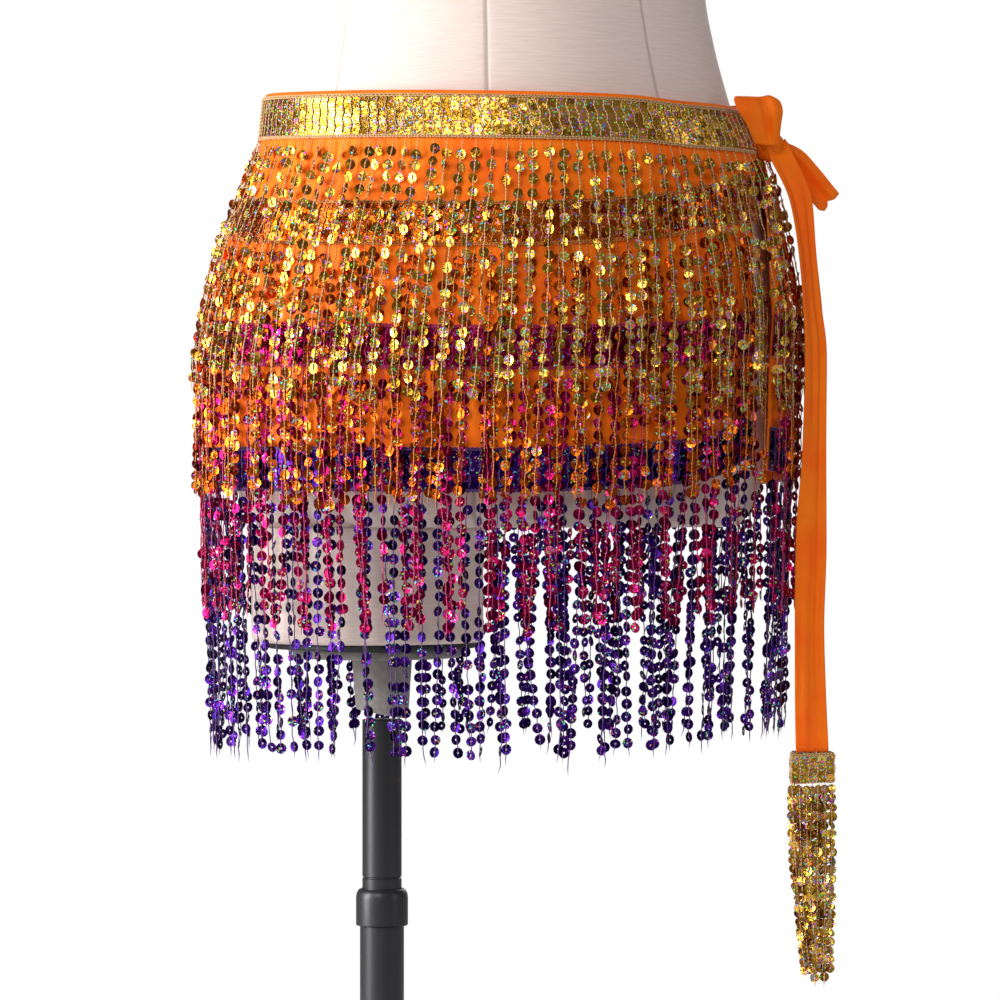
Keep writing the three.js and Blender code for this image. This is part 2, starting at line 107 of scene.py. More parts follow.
def white_room(seen, felt):
    """A world that is white where it is seen past the object and dimmer in what it lights."""
    world = bpy.data.worlds.new("white room")
    world.use_nodes = True
    nodes, links = world.node_tree.nodes, world.node_tree.links
    nodes.clear()
    rays = add_node(nodes, "LightPath")
    bright = add_node(nodes, "Background")
    dim = add_node(nodes, "Background")
    choose = add_node(nodes, "MixShader")
    out = add_node(nodes, "OutputWorld")
    bright.inputs["Strength"].default_value = seen
    dim.inputs["Strength"].default_value = felt
    bright.inputs["Color"].default_value = (1, 1, 1, 1)
    dim.inputs["Color"].default_value = (1, 1, 1, 1)
    join(links,
         (rays, "Is Camera Ray", choose, "Fac"), (dim, 0, choose, 1), (bright, 0, choose, 2),
         (choose, 0, out, "Surface"))
    bpy.context.scene.world = world


def new_material(name):
    """A material's name made real: the material, its nodes, its links and its shader."""
    material = bpy.data.materials.new(name)
    material.use_nodes = True
    nodes, links = material.node_tree.nodes, material.node_tree.links
    return material, nodes, links, nodes["Principled BSDF"]


def lay_floor(radius):
    """A round of pale board under the stand, for the picture only."""
    bpy.ops.object.select_all(action="DESELECT")
    bpy.ops.mesh.primitive_circle_add(vertices=96, radius=radius, fill_type="NGON",
                                      location=(0.07, 0, -0.0005))
    floor = bpy.context.object
    floor.name = "floor"
    board, nodes, links, shader = new_material("pale board")
    shader.inputs["Base Color"].default_value = (0.93, 0.93, 0.93, 1)
    shader.inputs["Roughness"].default_value = 0.7
    floor.data.materials.append(board)


place_camera(x=0.0708, height=0.42, distance=2.4, field=0.6)
white_room(seen=1.0, felt=0.27)
soft_box("side box", (-1.7, -0.6, 0.75), (0.0, 0.0, 0.5), (0.7, 1.3), 56)
soft_box("front box", (-0.9, -2.6, 1.9), (0.05, 0.0, 0.5), (1.0, 1.0), 30)
soft_box("right box", (1.9, -1.0, 0.9), (0.1, 0.0, 0.5), (0.35, 1.2), 4)
soft_box("back box", (0.6, 2.2, 1.4), (0.05, 0.0, 0.5), (1.4, 1.4), 20)
lay_floor(0.9)
bpy.context.scene.view_settings.view_transform = "Standard"


# ---- Shape of the worn scarf -----------------------------------------------------------------------
# The scarf is a wall round the hips. Angles run from the front's middle (0) to the knotted hip (90) one
# way, and past the other hip (-90) and the back (-180) to the knot again the other way. All in mm.
def table(names, *rows):
    """Rows of numbers, each as a dictionary by the columns' names."""
    return [dict(zip(names.split(), row)) for row in rows]


WRAP_SECTIONS = table(
    "z half front back middle",
    (670, 141, 100, 106, 73),
    (653, 143.5, 103, 109, 74),
    (628, 150, 107, 116, 77),
    (600, 158, 111, 124, 76),
    (575, 165, 113.5, 130, 74),
    (550, 170, 115.5, 134, 73),
    (525, 173.5, 116.5, 137, 72),
    (500, 174, 116.5, 138, 70),
    (450, 173.5, 115, 136, 69.5),
    (423, 172.5, 114, 134, 69),
    (345, 170, 112, 131, 69),
    (260, 167, 110, 128, 69),
)
TAPE_TOPS = table(
    "angle gold copper magenta purple",
    (90, 650, 608, 531, 471),
    (57, 650, 607, 530, 469),
    (46, 650, 603, 526, 459),
    (30, 652, 596, 522, 453),
    (0, 653, 591, 520, 450),
    (-45, 656, 594, 523, 451),
    (-85, 660, 601, 527, 451),
    (-180, 664, 604, 530, 453),
    (-240, 659, 603, 529, 455),
    (-294, 652, 605, 530, 463),
)
CLOTH_ENDS = table(
    "z first last",
    (665, 72, -274),
    (625, 72, -274),
    (600, 64, -287),
    (528, 58, -294),
    (260, 57, -295),
)
# Soft creases of the cloth: where each is centred, half its length, half its width, its lean from
# upright in degrees, and its height (a trough is below 0).
CREASES = table(
    "angle z long wide lean high",
    (66, 612, 34, 5, 34, 1.1),
    (58, 607, 40, 4.5, 48, -0.9),
    (52, 618, 30, 4, 62, 0.8),
    (41, 612, 17, 6, 14, -0.7),
    (29, 609, 19, 7, 8, 0.7),
    (17, 611, 15, 6, -4, -0.7),
    (6, 606, 21, 8, 3, 0.6),
    (-6, 610, 16, 6, 6, -0.7),
    (-19, 607, 20, 7, -6, 0.7),
    (-31, 612, 14, 5, -10, -0.8),
    (-44, 609, 22, 6, 5, 0.8),
    (-58, 613, 24, 6, 22, -0.9),
    (-71, 609, 26, 6, 30, 0.9),
    (-96, 611, 18, 7, -12, -0.7),
    (-121, 608, 24, 8, 9, 0.7),
    (-147, 612, 17, 7, -5, -0.6),
    (-172, 609, 22, 8, 4, 0.7),
    (-199, 611, 19, 7, -8, -0.7),
    (-226, 607, 25, 7, -18, 0.8),
    (-249, 610, 30, 6, -33, -0.8),
    (-266, 608, 33, 5, -42, 1.0),
    (48, 548, 42, 8, 22, 0.8),
    (24, 545, 26, 12, -15, -0.6),
    (-13, 548, 30, 11, 10, 0.6),
    (-50, 546, 28, 10, -12, -0.7),
    (-82, 549, 34, 10, 15, 0.7),
    (-128, 546, 30, 12, -10, -0.6),
    (-170, 549, 27, 12, 12, 0.6),
    (-214, 545, 32, 11, -9, -0.6),
    (-258, 548, 38, 9, -20, 0.8),
    (44, 470, 36, 7, 30, -0.8),
    (12, 474, 22, 12, 0, 0.6),
    (-36, 472, 25, 11, 8, -0.6),
    (-77, 475, 27, 10, -11, 0.6),
    (-140, 473, 25, 13, 6, -0.5),
    (-205, 475, 28, 12, -7, 0.6),
    (-262, 470, 34, 9, -24, -0.7),
)
TAPE = 25.0
STRAND = 152.0
HIP_RADIUS = 150.0  # turns an angle into a length round the hips, for creases and patterns


def curve_through(rows, key, column):
    """A smooth curve through one column of a table, by its key column, that never overshoots."""
    rows = sorted(rows, key=lambda row: row[key])
    x = np.array([row[key] for row in rows], float)
    y = np.array([row[column] for row in rows], float)
    step = np.diff(x)
    slope = np.diff(y) / step
    turn = np.zeros(len(x))
    same_way = slope[:-1] * slope[1:] > 0
    total = np.where(same_way, slope[:-1] + slope[1:], 1.0)
    turn[1:-1] = np.where(same_way, 2 * slope[:-1] * slope[1:] / total, 0.0)
    turn[0], turn[-1] = slope[0], slope[-1]

    def value(at):
        at = np.clip(at, x[0], x[-1])
        i = np.clip(np.searchsorted(x, at) - 1, 0, len(step) - 1)
        t = (at - x[i]) / step[i]
        ends = (1 + 2 * t) * (1 - t) ** 2 * y[i] + t * t * (3 - 2 * t) * y[i + 1]
        return ends + step[i] * (t * (1 - t) ** 2 * turn[i] + t * t * (t - 1) * turn[i + 1])

    return value


half_at, front_at, back_at, middle_at = (
    curve_through(WRAP_SECTIONS, "z", column) for column in ("half", "front", "back", "middle")
)
COLOURS = ("gold", "copper", "magenta", "purple")
tape_top = {colour: curve_through(TAPE_TOPS, "angle", colour) for colour in COLOURS}
first_at, last_at = (curve_through(CLOTH_ENDS, "z", column) for column in ("first", "last"))


def crease_height(angle, z):
    """How far the creases lift the cloth at a place on it."""
    lift = np.zeros(np.broadcast(angle, z).shape)
    for crease in CREASES:
        across = (angle - crease["angle"]) * math.pi / 180 * HIP_RADIUS
        down = z - crease["z"]
        lean = math.radians(crease["lean"])
        along = down * math.cos(lean) - across * math.sin(lean)
        aside = across * math.cos(lean) + down * math.sin(lean)
        lift += crease["high"] * np.exp(-((along / crease["long"]) ** 2) - (aside / crease["wide"]) ** 2)
    return lift


WIDEST = {"half": 174.0, "front": 116.5, "back": 138.0}


def outward(angle):
    """The level direction out of the cloth at an angle round the hips."""
    a = np.radians(angle)
    reach = np.where(np.cos(a) > 0, WIDEST["front"], WIDEST["back"])
    x, y = np.sin(a) / WIDEST["half"], -np.cos(a) / reach
    size = np.hypot(x, y)
    return np.stack([x / size, y / size, np.zeros_like(x)], -1)


def scarf_point(angle, z, out):
    """Places on the worn scarf, in metres: round the hips, up, and out of the cloth's inner face."""
    angle, z, out = np.broadcast_arrays(*(np.asarray(value, float) for value in (angle, z, out)))
    a = np.radians(angle)
    reach = np.where(np.cos(a) > 0, front_at(z), back_at(z))
    base = np.stack([middle_at(z) + half_at(z) * np.sin(a), -reach * np.cos(a), z], -1)
    lifted = out + crease_height(angle, z)
    return (base + outward(angle) * lifted[..., None]) * MM


# ---- Wrapped cloth ---------------------------------------------------------------------------------
# One long panel of smooth orange stretch jersey, hemmed all round. It is wrapped once round the hips,
# and its ends part below the knot. Its creases run into the tapes and towards the knot.
def cloth_mesh(name, points, material, lengths):
    """A grid of points as a sheet with its own UV map in metres of cloth."""
    rows, columns = points.shape[:2]
    index = np.arange(rows * columns).reshape(rows, columns)
    faces = np.stack([index[:-1, :-1], index[1:, :-1], index[1:, 1:], index[:-1, 1:]], -1).reshape(-1, 4)
    mesh = bpy.data.meshes.new(name)
    mesh.from_pydata(points.reshape(-1, 3).tolist(), [], faces.tolist())
    layer = mesh.uv_layers.new(name="cloth")
    layer.data.foreach_set("uv", lengths.reshape(-1, 2)[faces.reshape(-1)].astype(np.float32).ravel())
    mesh.materials.append(material)
    mesh.polygons.foreach_set("use_smooth", np.ones(len(faces), bool))
    piece = bpy.data.objects.new(name, mesh)
    bpy.context.scene.collection.objects.link(piece)
    return piece


def pick(piece):
    """Makes a piece the only one picked."""
    bpy.ops.object.select_all(action="DESELECT")
    bpy.context.view_layer.objects.active = piece
    piece.select_set(True)


def apply_modifier(piece, kind, **settings):
    """Adds a modifier with its settings to a piece and applies it."""
    pick(piece)
    modifier = piece.modifiers.new(kind.lower(), kind)
    for key, value in settings.items():
        setattr(modifier, key, value)
    bpy.ops.object.modifier_apply(modifier=modifier.name)


def finish_piece(piece, slot, *nodes):
    """Rides on the part's one body and stands for the CAD nodes; its slot is not used."""
    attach(piece, "root")
    if nodes:
        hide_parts(*nodes)


def cloth_lengths(points):
    """Each point's distance along its row and down its column, in metres of cloth."""
    across = np.linalg.norm(np.diff(points, axis=1), axis=2)
    down = np.linalg.norm(np.diff(points, axis=0), axis=2)
    u = np.concatenate([np.zeros((len(points), 1)), np.cumsum(across, 1)], 1)
    v = np.concatenate([np.zeros((1, points.shape[1])), np.cumsum(down, 0)], 0)
    return np.stack([u, v], -1)


def orange_jersey():
    """Orange stretch jersey: fine ribs of knit, colour varying in soft clouds, and a soft sheen."""
    material, nodes, links, shader = new_material("orange jersey")
    uv = add_node(nodes, "UVMap", uv_map="cloth")
    ribs = add_node(nodes, "TexWave", {"Scale": 230.0, "Distortion": 0.6, "Detail": 1.0})
    courses = add_node(nodes, "TexWave", {"Scale": 190.0}, bands_direction="Y")
    both = add_node(nodes, "Math", operation="MULTIPLY")
    place = add_node(nodes, "TexCoord")
    clouds = add_node(nodes, "TexNoise", {"Scale": 42.0, "Detail": 3.0})
    tone = two_tones(nodes, 0.3, (1.0, 0.135, 0.001), 0.72, (1.0, 0.215, 0.001))
    bump = add_node(nodes, "Bump", {"Strength": 0.25, "Distance": 0.0002})
    join(links,
         (uv, "UV", ribs, "Vector"), (uv, "UV", courses, "Vector"), (ribs, "Fac", both, 0),
         (courses, "Fac", both, 1), (place, "Object", clouds, "Vector"), (clouds, "Fac", tone, "Fac"),
         (tone, "Color", shader, "Base Color"), (both, 0, bump, "Height"),
         (bump, "Normal", shader, "Normal"))
    shader.inputs["Roughness"].default_value = 0.62
    shader.inputs["Specular IOR Level"].default_value = 0.2
    shader.inputs["Sheen Weight"].default_value = 0.12
    shader.inputs["Sheen Roughness"].default_value = 0.4
    shader.inputs["Sheen Tint"].default_value = (1.0, 0.35, 0.05, 1)
    return material


JERSEY = orange_jersey()


def make_wrap():
    across = np.linspace(0, 1, 420)
    down = np.linspace(0, 1, 84)
    rim = 2.0   # the cloth shows above the waist tape
    hem = 0.6   # and ends just below the purple one
    angle = np.tile(72 - across * 346, (len(down), 1))
    z = np.zeros_like(angle)
    for _ in range(4):
        top = tape_top["gold"](angle) + rim
        bottom = tape_top["purple"](angle) - TAPE - hem
        z = top + (bottom - top) * down[:, None]
        angle = first_at(z) + (last_at(z) - first_at(z)) * across
    points = scarf_point(angle, z, 0.55)
    wrap = cloth_mesh("wrap", points, JERSEY, cloth_lengths(points))
    apply_modifier(wrap, "SOLIDIFY", thickness=0.9 * MM, offset=0.0)
    return wrap


wrap = make_wrap()
finish_piece(wrap, "orange_cloth", "wrap_front", "wrap_right_hip", "wrap_back", "wrap_left_hip")


# ---- Sequins and thread ----------------------------------------------------------------------------
# Flat foil discs, 6.4 mm across with a small hole, sewn on by chained thread that runs over the face
# of each. The foil is a dark mirror broken into specks of every colour.
class Pile:
    """Many small shapes of four-sided faces gathered into one mesh, with a tint and a run for each."""

    def __init__(self):
        self.points, self.faces, self.kinds, self.tints, self.runs = [], [], [], [], []
        self.count = 0

    def add(self, points, faces, kind, tint, run):
        self.points.append(points.reshape(-1, 3))
        self.faces.append(faces.reshape(-1, 4) + self.count)
        self.kinds.append(np.full(faces.reshape(-1, 4).shape[0], kind))
        self.tints.append(np.broadcast_to(tint, self.points[-1].shape[:1]).astype(np.float32))
        self.runs.append(np.broadcast_to(run, self.points[-1].shape[:1]).astype(np.float32))
        self.count += len(self.points[-1])

    def make(self, name, materials):
        points, faces = np.concatenate(self.points), np.concatenate(self.faces)
        mesh = bpy.data.meshes.new(name)
        mesh.vertices.add(len(points))
        mesh.vertices.foreach_set("co", points.astype(np.float32).ravel())
        mesh.loops.add(faces.size)
        mesh.loops.foreach_set("vertex_index", faces.astype(np.int32).ravel())
        mesh.polygons.add(len(faces))
        mesh.polygons.foreach_set("loop_start", np.arange(0, faces.size, 4, dtype=np.int32))
        mesh.polygons.foreach_set("material_index", np.concatenate(self.kinds).astype(np.int32))
        mesh.polygons.foreach_set("use_smooth", np.ones(len(faces), bool))
        for label, values in (("tint", self.tints), ("run", self.runs)):
            mesh.attributes.new(label, "FLOAT", "POINT").data.foreach_set("value", np.concatenate(values))
        for material in materials:
            mesh.materials.append(material)
        mesh.update(calc_edges=True)
        mesh.validate()
        piece = bpy.data.objects.new(name, mesh)
        bpy.context.scene.collection.objects.link(piece)
        return piece


UP = np.array([0, 0, 1.0])


def disc_shape(sides, radii, rises):
    """A disc with a hole, as rings of points about Z and the faces between them."""
    turn = np.arange(sides) * 2 * math.pi / sides
    rings = [
        np.stack([r * np.cos(turn), r * np.sin(turn), np.full(sides, h)], -1)
        for r, h in zip(radii, rises)
    ]
    here = np.arange(sides)
    after = (here + 1) % sides
    faces = [
        np.stack([k + here, k + sides + here, k + sides + after, k + after], -1)
        for k in range(0, (len(radii) - 1) * sides, sides)
    ]
    return np.concatenate(rings) * MM, np.concatenate(faces)


FRINGE_DISC = disc_shape(10, (0.55, 2.5, 3.2), (0.0, 0.0, 0.16))
TAPE_DISC = disc_shape(10, (0.5, 2.9), (0.0, 0.0))


def sew_discs(pile, shape, places, facing, upright, tints, kind, scale=1.0):
    """Adds a disc at each place, its face turned along facing and its top towards upright."""
    points, faces = shape
    z_axis = facing / np.linalg.norm(facing, axis=1, keepdims=True)
    x_axis = np.cross(upright, z_axis)
    x_axis /= np.linalg.norm(x_axis, axis=1, keepdims=True)
    y_axis = np.cross(z_axis, x_axis)
    axes = np.stack([x_axis, y_axis, z_axis], 1)
    scale = np.broadcast_to(scale, len(places))
    all_points = places[:, None, :] + np.einsum("pk,nkd->npd", points, axes) * scale[:, None, None]
    all_faces = faces[None] + (np.arange(len(places)) * len(points))[:, None, None]
    pile.add(all_points, all_faces, kind, np.repeat(tints, len(points)), 0.0)


def run_thread(pile, line, radius, kind, tint, sides=4):
    """Adds a thread along a line of points, closed to a point at both ends."""
    along = np.gradient(line, axis=0)
    along /= np.linalg.norm(along, axis=1, keepdims=True)
    helper = np.where(np.abs(along[:, 2:3]) > 0.9, np.array([[1.0, 0, 0]]), np.array([[0, 0, 1.0]]))
    side = np.cross(along, helper)
    side /= np.linalg.norm(side, axis=1, keepdims=True)
    other = np.cross(along, side)
    turn = (np.arange(sides) + 0.5) * 2 * math.pi / sides
    thick = np.full(len(line), radius)
    thick[[0, -1]] = radius * 0.12
    ring = side[:, None] * np.cos(turn)[None, :, None] + other[:, None] * np.sin(turn)[None, :, None]
    points = line[:, None] + ring * thick[:, None, None]
    row = np.arange(len(line) - 1)[:, None] * sides
    here = np.arange(sides)[None]
    after = (here + 1) % sides
    faces = np.stack([row + here, row + after, row + sides + after, row + sides + here], -1)
    steps = np.linalg.norm(np.diff(line, axis=0), axis=1)
    run = np.repeat(np.concatenate([[0], np.cumsum(steps)]), sides)
    pile.add(points, faces, kind, tint, run)


def speckle_group():
    """Shared by every foil: specks of random hue, each tipped its own way like a tiny mirror."""
    group = bpy.data.node_groups.new("foil specks", "ShaderNodeTree")
    socket = group.interface.new_socket
    socket("Foil", in_out="INPUT", socket_type="NodeSocketColor")
    socket("Specks", in_out="INPUT", socket_type="NodeSocketFloat")
    socket("Tip", in_out="INPUT", socket_type="NodeSocketFloat")
    socket("Color", in_out="OUTPUT", socket_type="NodeSocketColor")
    socket("Metal", in_out="OUTPUT", socket_type="NodeSocketFloat")
    socket("Normal", in_out="OUTPUT", socket_type="NodeSocketVector")
    nodes, links = group.nodes, group.links
    given, out = nodes.new("NodeGroupInput"), nodes.new("NodeGroupOutput")
    place = add_node(nodes, "TexCoord")
    cells = add_node(nodes, "TexVoronoi", {"Scale": 1150.0})
    parts = add_node(nodes, "SeparateColor")
    hue = add_node(nodes, "CombineColor", {1: 0.92, 2: 1.0}, mode="HSV")
    tint = add_node(nodes, "Attribute", attribute_name="tint")
    share = add_node(nodes, "Math", {1: 0.22, 2: -0.11}, operation="MULTIPLY_ADD")
    limit = add_node(nodes, "Math", operation="ADD")
    speck = add_node(nodes, "Math", operation="LESS_THAN")
    shade = add_node(nodes, "Mix", data_type="RGBA")
    metal = add_node(nodes, "Math", {1: -0.75, 2: 1.0}, operation="MULTIPLY_ADD")
    offset = add_node(nodes, "VectorMath", operation="SUBTRACT")
    scaled = add_node(nodes, "VectorMath", {"Scale": 1150.0}, operation="SCALE")
    lean = add_node(nodes, "VectorMath", {1: (0.5, 0.5, 0.5)}, operation="SUBTRACT")
    slope = add_node(nodes, "VectorMath", operation="DOT_PRODUCT")
    bump = add_node(nodes, "Bump", {"Distance": 0.0012})
    join(links,
         (place, "Object", cells, "Vector"), (place, "Object", scaled, 0), (cells, "Color", parts, 0),
         (parts, 0, hue, 0), (tint, "Fac", share, 0), (share, 0, limit, 0),
         (given, "Specks", limit, 1), (parts, 1, speck, 0), (limit, 0, speck, 1),
         (speck, 0, shade, "Factor"), (given, "Foil", shade, 6), (hue, 0, shade, 7),
         (speck, 0, metal, 0), (scaled, 0, offset, 0), (cells, "Position", offset, 1),
         (cells, "Color", lean, 0), (offset, 0, slope, 0), (lean, 0, slope, 1),
         (slope, "Value", bump, "Height"), (given, "Tip", bump, "Strength"), (shade, 2, out, "Color"),
         (metal, 0, out, "Metal"), (bump, "Normal", out, "Normal"))
    return group


SPECKS = speckle_group()


def foil(name, dark, pale, specks, tip, roughness=0.2):
    """Metallised film of one colour, from its darkest disc to its palest."""
    material, nodes, links, shader = new_material(name)
    tint = add_node(nodes, "Attribute", attribute_name="tint")
    ramp = two_tones(nodes, 0.0, dark, 1.0, pale)
    broken = add_node(nodes, "Group", {"Specks": specks, "Tip": tip}, node_tree=SPECKS)
    join(links,
         (tint, "Fac", ramp, "Fac"), (ramp, "Color", broken, "Foil"),
         (broken, "Color", shader, "Base Color"), (broken, "Metal", shader, "Metallic"),
         (broken, "Normal", shader, "Normal"))
    shader.inputs["Roughness"].default_value = roughness
    return material


def chained_thread(name, light, dark):
    """Chained thread: pale loops with painted shade in the gaps between them, all along its run."""
    material, nodes, links, shader = new_material(name)
    run = add_node(nodes, "Attribute", attribute_name="run")
    pitch = add_node(nodes, "Math", {1: 3000.0}, operation="MULTIPLY")
    wave = add_node(nodes, "Math", operation="SINE")
    # The dark colour of this ramp is painted shade for the gaps between the chain's loops.
    ramp = two_tones(nodes, 0.0, dark, 0.55, light)
    half = add_node(nodes, "Math", {1: 0.5, 2: 0.5}, operation="MULTIPLY_ADD")
    join(links,
         (run, "Fac", pitch, 0), (pitch, 0, wave, 0), (wave, 0, half, 0), (half, 0, ramp, "Fac"),
         (ramp, "Color", shader, "Base Color"))
    shader.inputs["Roughness"].default_value = 0.55
    shader.inputs["Sheen Weight"].default_value = 0.2
    return material


FOILS = {
    "gold": foil("gold foil", (0.20, 0.085, 0.004), (0.92, 0.50, 0.06), 0.15, 0.16),
    "copper": foil("copper foil", (0.25, 0.026, 0.001), (0.92, 0.19, 0.01), 0.11, 0.16),
    "magenta": foil("magenta foil", (0.10, 0.001, 0.018), (0.62, 0.008, 0.12), 0.09, 0.16),
    "purple": foil("purple foil", (0.008, 0.002, 0.045), (0.09, 0.012, 0.30), 0.07, 0.16),
}
# Each thread's second colour is painted shade, laid in the gaps between its loops.
THREADS = {
    "gold": chained_thread("beige thread", (0.66, 0.40, 0.17), (0.30, 0.13, 0.03)),
    "copper": chained_thread("golden orange thread", (0.72, 0.24, 0.02), (0.34, 0.07, 0.006)),
    "magenta": chained_thread("hot pink thread", (0.62, 0.012, 0.15), (0.25, 0.004, 0.05)),
    "purple": chained_thread("purple thread", (0.11, 0.025, 0.20), (0.04, 0.008, 0.08)),
}
COLOUR_SEED = {"gold": 11, "copper": 23, "magenta": 37, "purple": 53}


# ---- Sequin tapes ----------------------------------------------------------------------------------
# Four woven tapes, each covered by columns of overlapping discs, with a zigzag of thread between the
# columns and a chained stitch along both edges. They are machined on, flat to the cloth.
def angles_along(z_of, out, spacing):
    """Angles spaced evenly round the cloth at a height that may change with the angle."""
    steps = np.linspace(0, 1, 1500)
    angle = 72 - 346 * steps
    for _ in range(3):
        z = z_of(angle)
        angle = first_at(z) + (last_at(z) - first_at(z)) * steps
    line = scarf_point(angle, z_of(angle), out)
    length = np.concatenate([[0], np.cumsum(np.linalg.norm(np.diff(line, axis=0), axis=1))])
    count = int(length[-1] / (spacing * MM))
    return np.interp((np.arange(count) + 0.5) * length[-1] / count, length, angle)


SEQUIN_COLUMN = 5.6
SEQUIN_DROPS = np.array([3.4, 7.6, 11.8, 16.0, 20.2, 22.6])


def make_tape(colour):
    rng = np.random.default_rng(COLOUR_SEED[colour])
    top = tape_top[colour]
    pile = Pile()
    # The woven backing, a thin closed ribbon.
    angle = angles_along(lambda a: top(a) - TAPE / 2, 1.4, 2.4)
    height = np.array([0.4, -TAPE + 0.2])
    front = scarf_point(angle[:, None], top(angle)[:, None] + height[None] - 0.6, 1.75)
    rear = scarf_point(angle[:, None], top(angle)[:, None] + height[None] - 0.6, 1.35)
    ring = np.stack([front[:, 0], front[:, 1], rear[:, 1], rear[:, 0]], 1)
    row = np.arange(len(angle) - 1)[:, None] * 4
    here = np.arange(4)[None]
    after = (here + 1) % 4
    faces = np.stack([row + here, row + after, row + 4 + after, row + 4 + here], -1)
    pile.add(ring, faces, 1, 0.2, 0.0)
    # Columns of discs, each disc over the one below it.
    columns = angles_along(lambda a: top(a) - TAPE / 2, 1.8, SEQUIN_COLUMN)
    grid_angle, grid_drop = np.meshgrid(columns, SEQUIN_DROPS, indexing="ij")
    grid_angle, grid_drop = grid_angle.ravel(), grid_drop.ravel()
    grid_angle = grid_angle + rng.normal(0, 0.08, grid_angle.shape)
    places = scarf_point(grid_angle, top(grid_angle) - grid_drop, 2.25)
    above = scarf_point(grid_angle, top(grid_angle) - grid_drop + 2, 2.25)
    facing = outward(grid_angle) + np.array([0, 0, -0.13]) + rng.normal(0, 0.035, places.shape)
    slope = above - places
    facing -= slope * (facing * slope).sum(1, keepdims=True) / (slope * slope).sum(1, keepdims=True) * 0.92
    sew_discs(pile, TAPE_DISC, places, facing, slope, rng.uniform(0, 0.75, len(places)), 0)
    # The thread between the columns, bent to and fro by the discs.
    steps = np.linspace(0.6, TAPE - 1.0, 11)
    spacing = abs(columns[1] - columns[0])
    for place in columns:
        sway = np.sin(steps / 4.2 * math.pi + rng.uniform(-0.5, 0.5)) * 0.09
        line_angle = place + spacing * (0.5 + sway)
        line = scarf_point(line_angle, top(line_angle) - steps, 2.75)
        run_thread(pile, line, 0.42 * MM, 1, rng.uniform(0.4, 1.0))
    # The chained stitches along the two edges.
    for drop, out in ((0.4, 2.5), (1.5, 2.7), (TAPE - 0.7, 2.7), (TAPE + 0.3, 2.4)):
        angle = angles_along(lambda a: top(a) - drop, out, 1.3)
        wiggle = np.where(np.arange(len(angle)) % 2, 0.35, -0.35)
        line = scarf_point(angle, top(angle) - drop + wiggle, out)
        run_thread(pile, line, 0.5 * MM, 1, 0.9)
    tape = pile.make(f"{colour}_sequin_tape", [FOILS[colour], THREADS[colour]])
    finish_piece(tape, f"{colour}_sequins", f"tape_{colour}")
    return tape


tapes = [make_tape(colour) for colour in COLOURS]


# ---- Fringes ---------------------------------------------------------------------------------------
# From the lower edge of each tape hang strands of chained thread, 152 mm long and about 8 mm apart,
# each with some twenty discs. They lie on the cloth and on the fringe below, and hang free past them.
FRINGE_LAYERS = {  # how far a strand stands off the cloth's inner face, by how far down it is
    "gold": table("drop out", (0, 2.6), (18, 5.0), (60, 7.0), (152, 10.2)),
    "copper": table("drop out", (0, 2.6), (30, 4.2), (75, 6.6), (152, 7.8)),
    "magenta": table("drop out", (0, 2.6), (25, 4.8), (60, 5.4), (152, 5.2)),
    "purple": table("drop out", (0, 2.4), (30, 2.8), (60, 2.9), (152, 2.8)),
}
DISC_PITCH = 7.4
STRAND_PITCH = 8.1
PURPLE_EXTRA = 5.0  # the lowest strands reach a little further


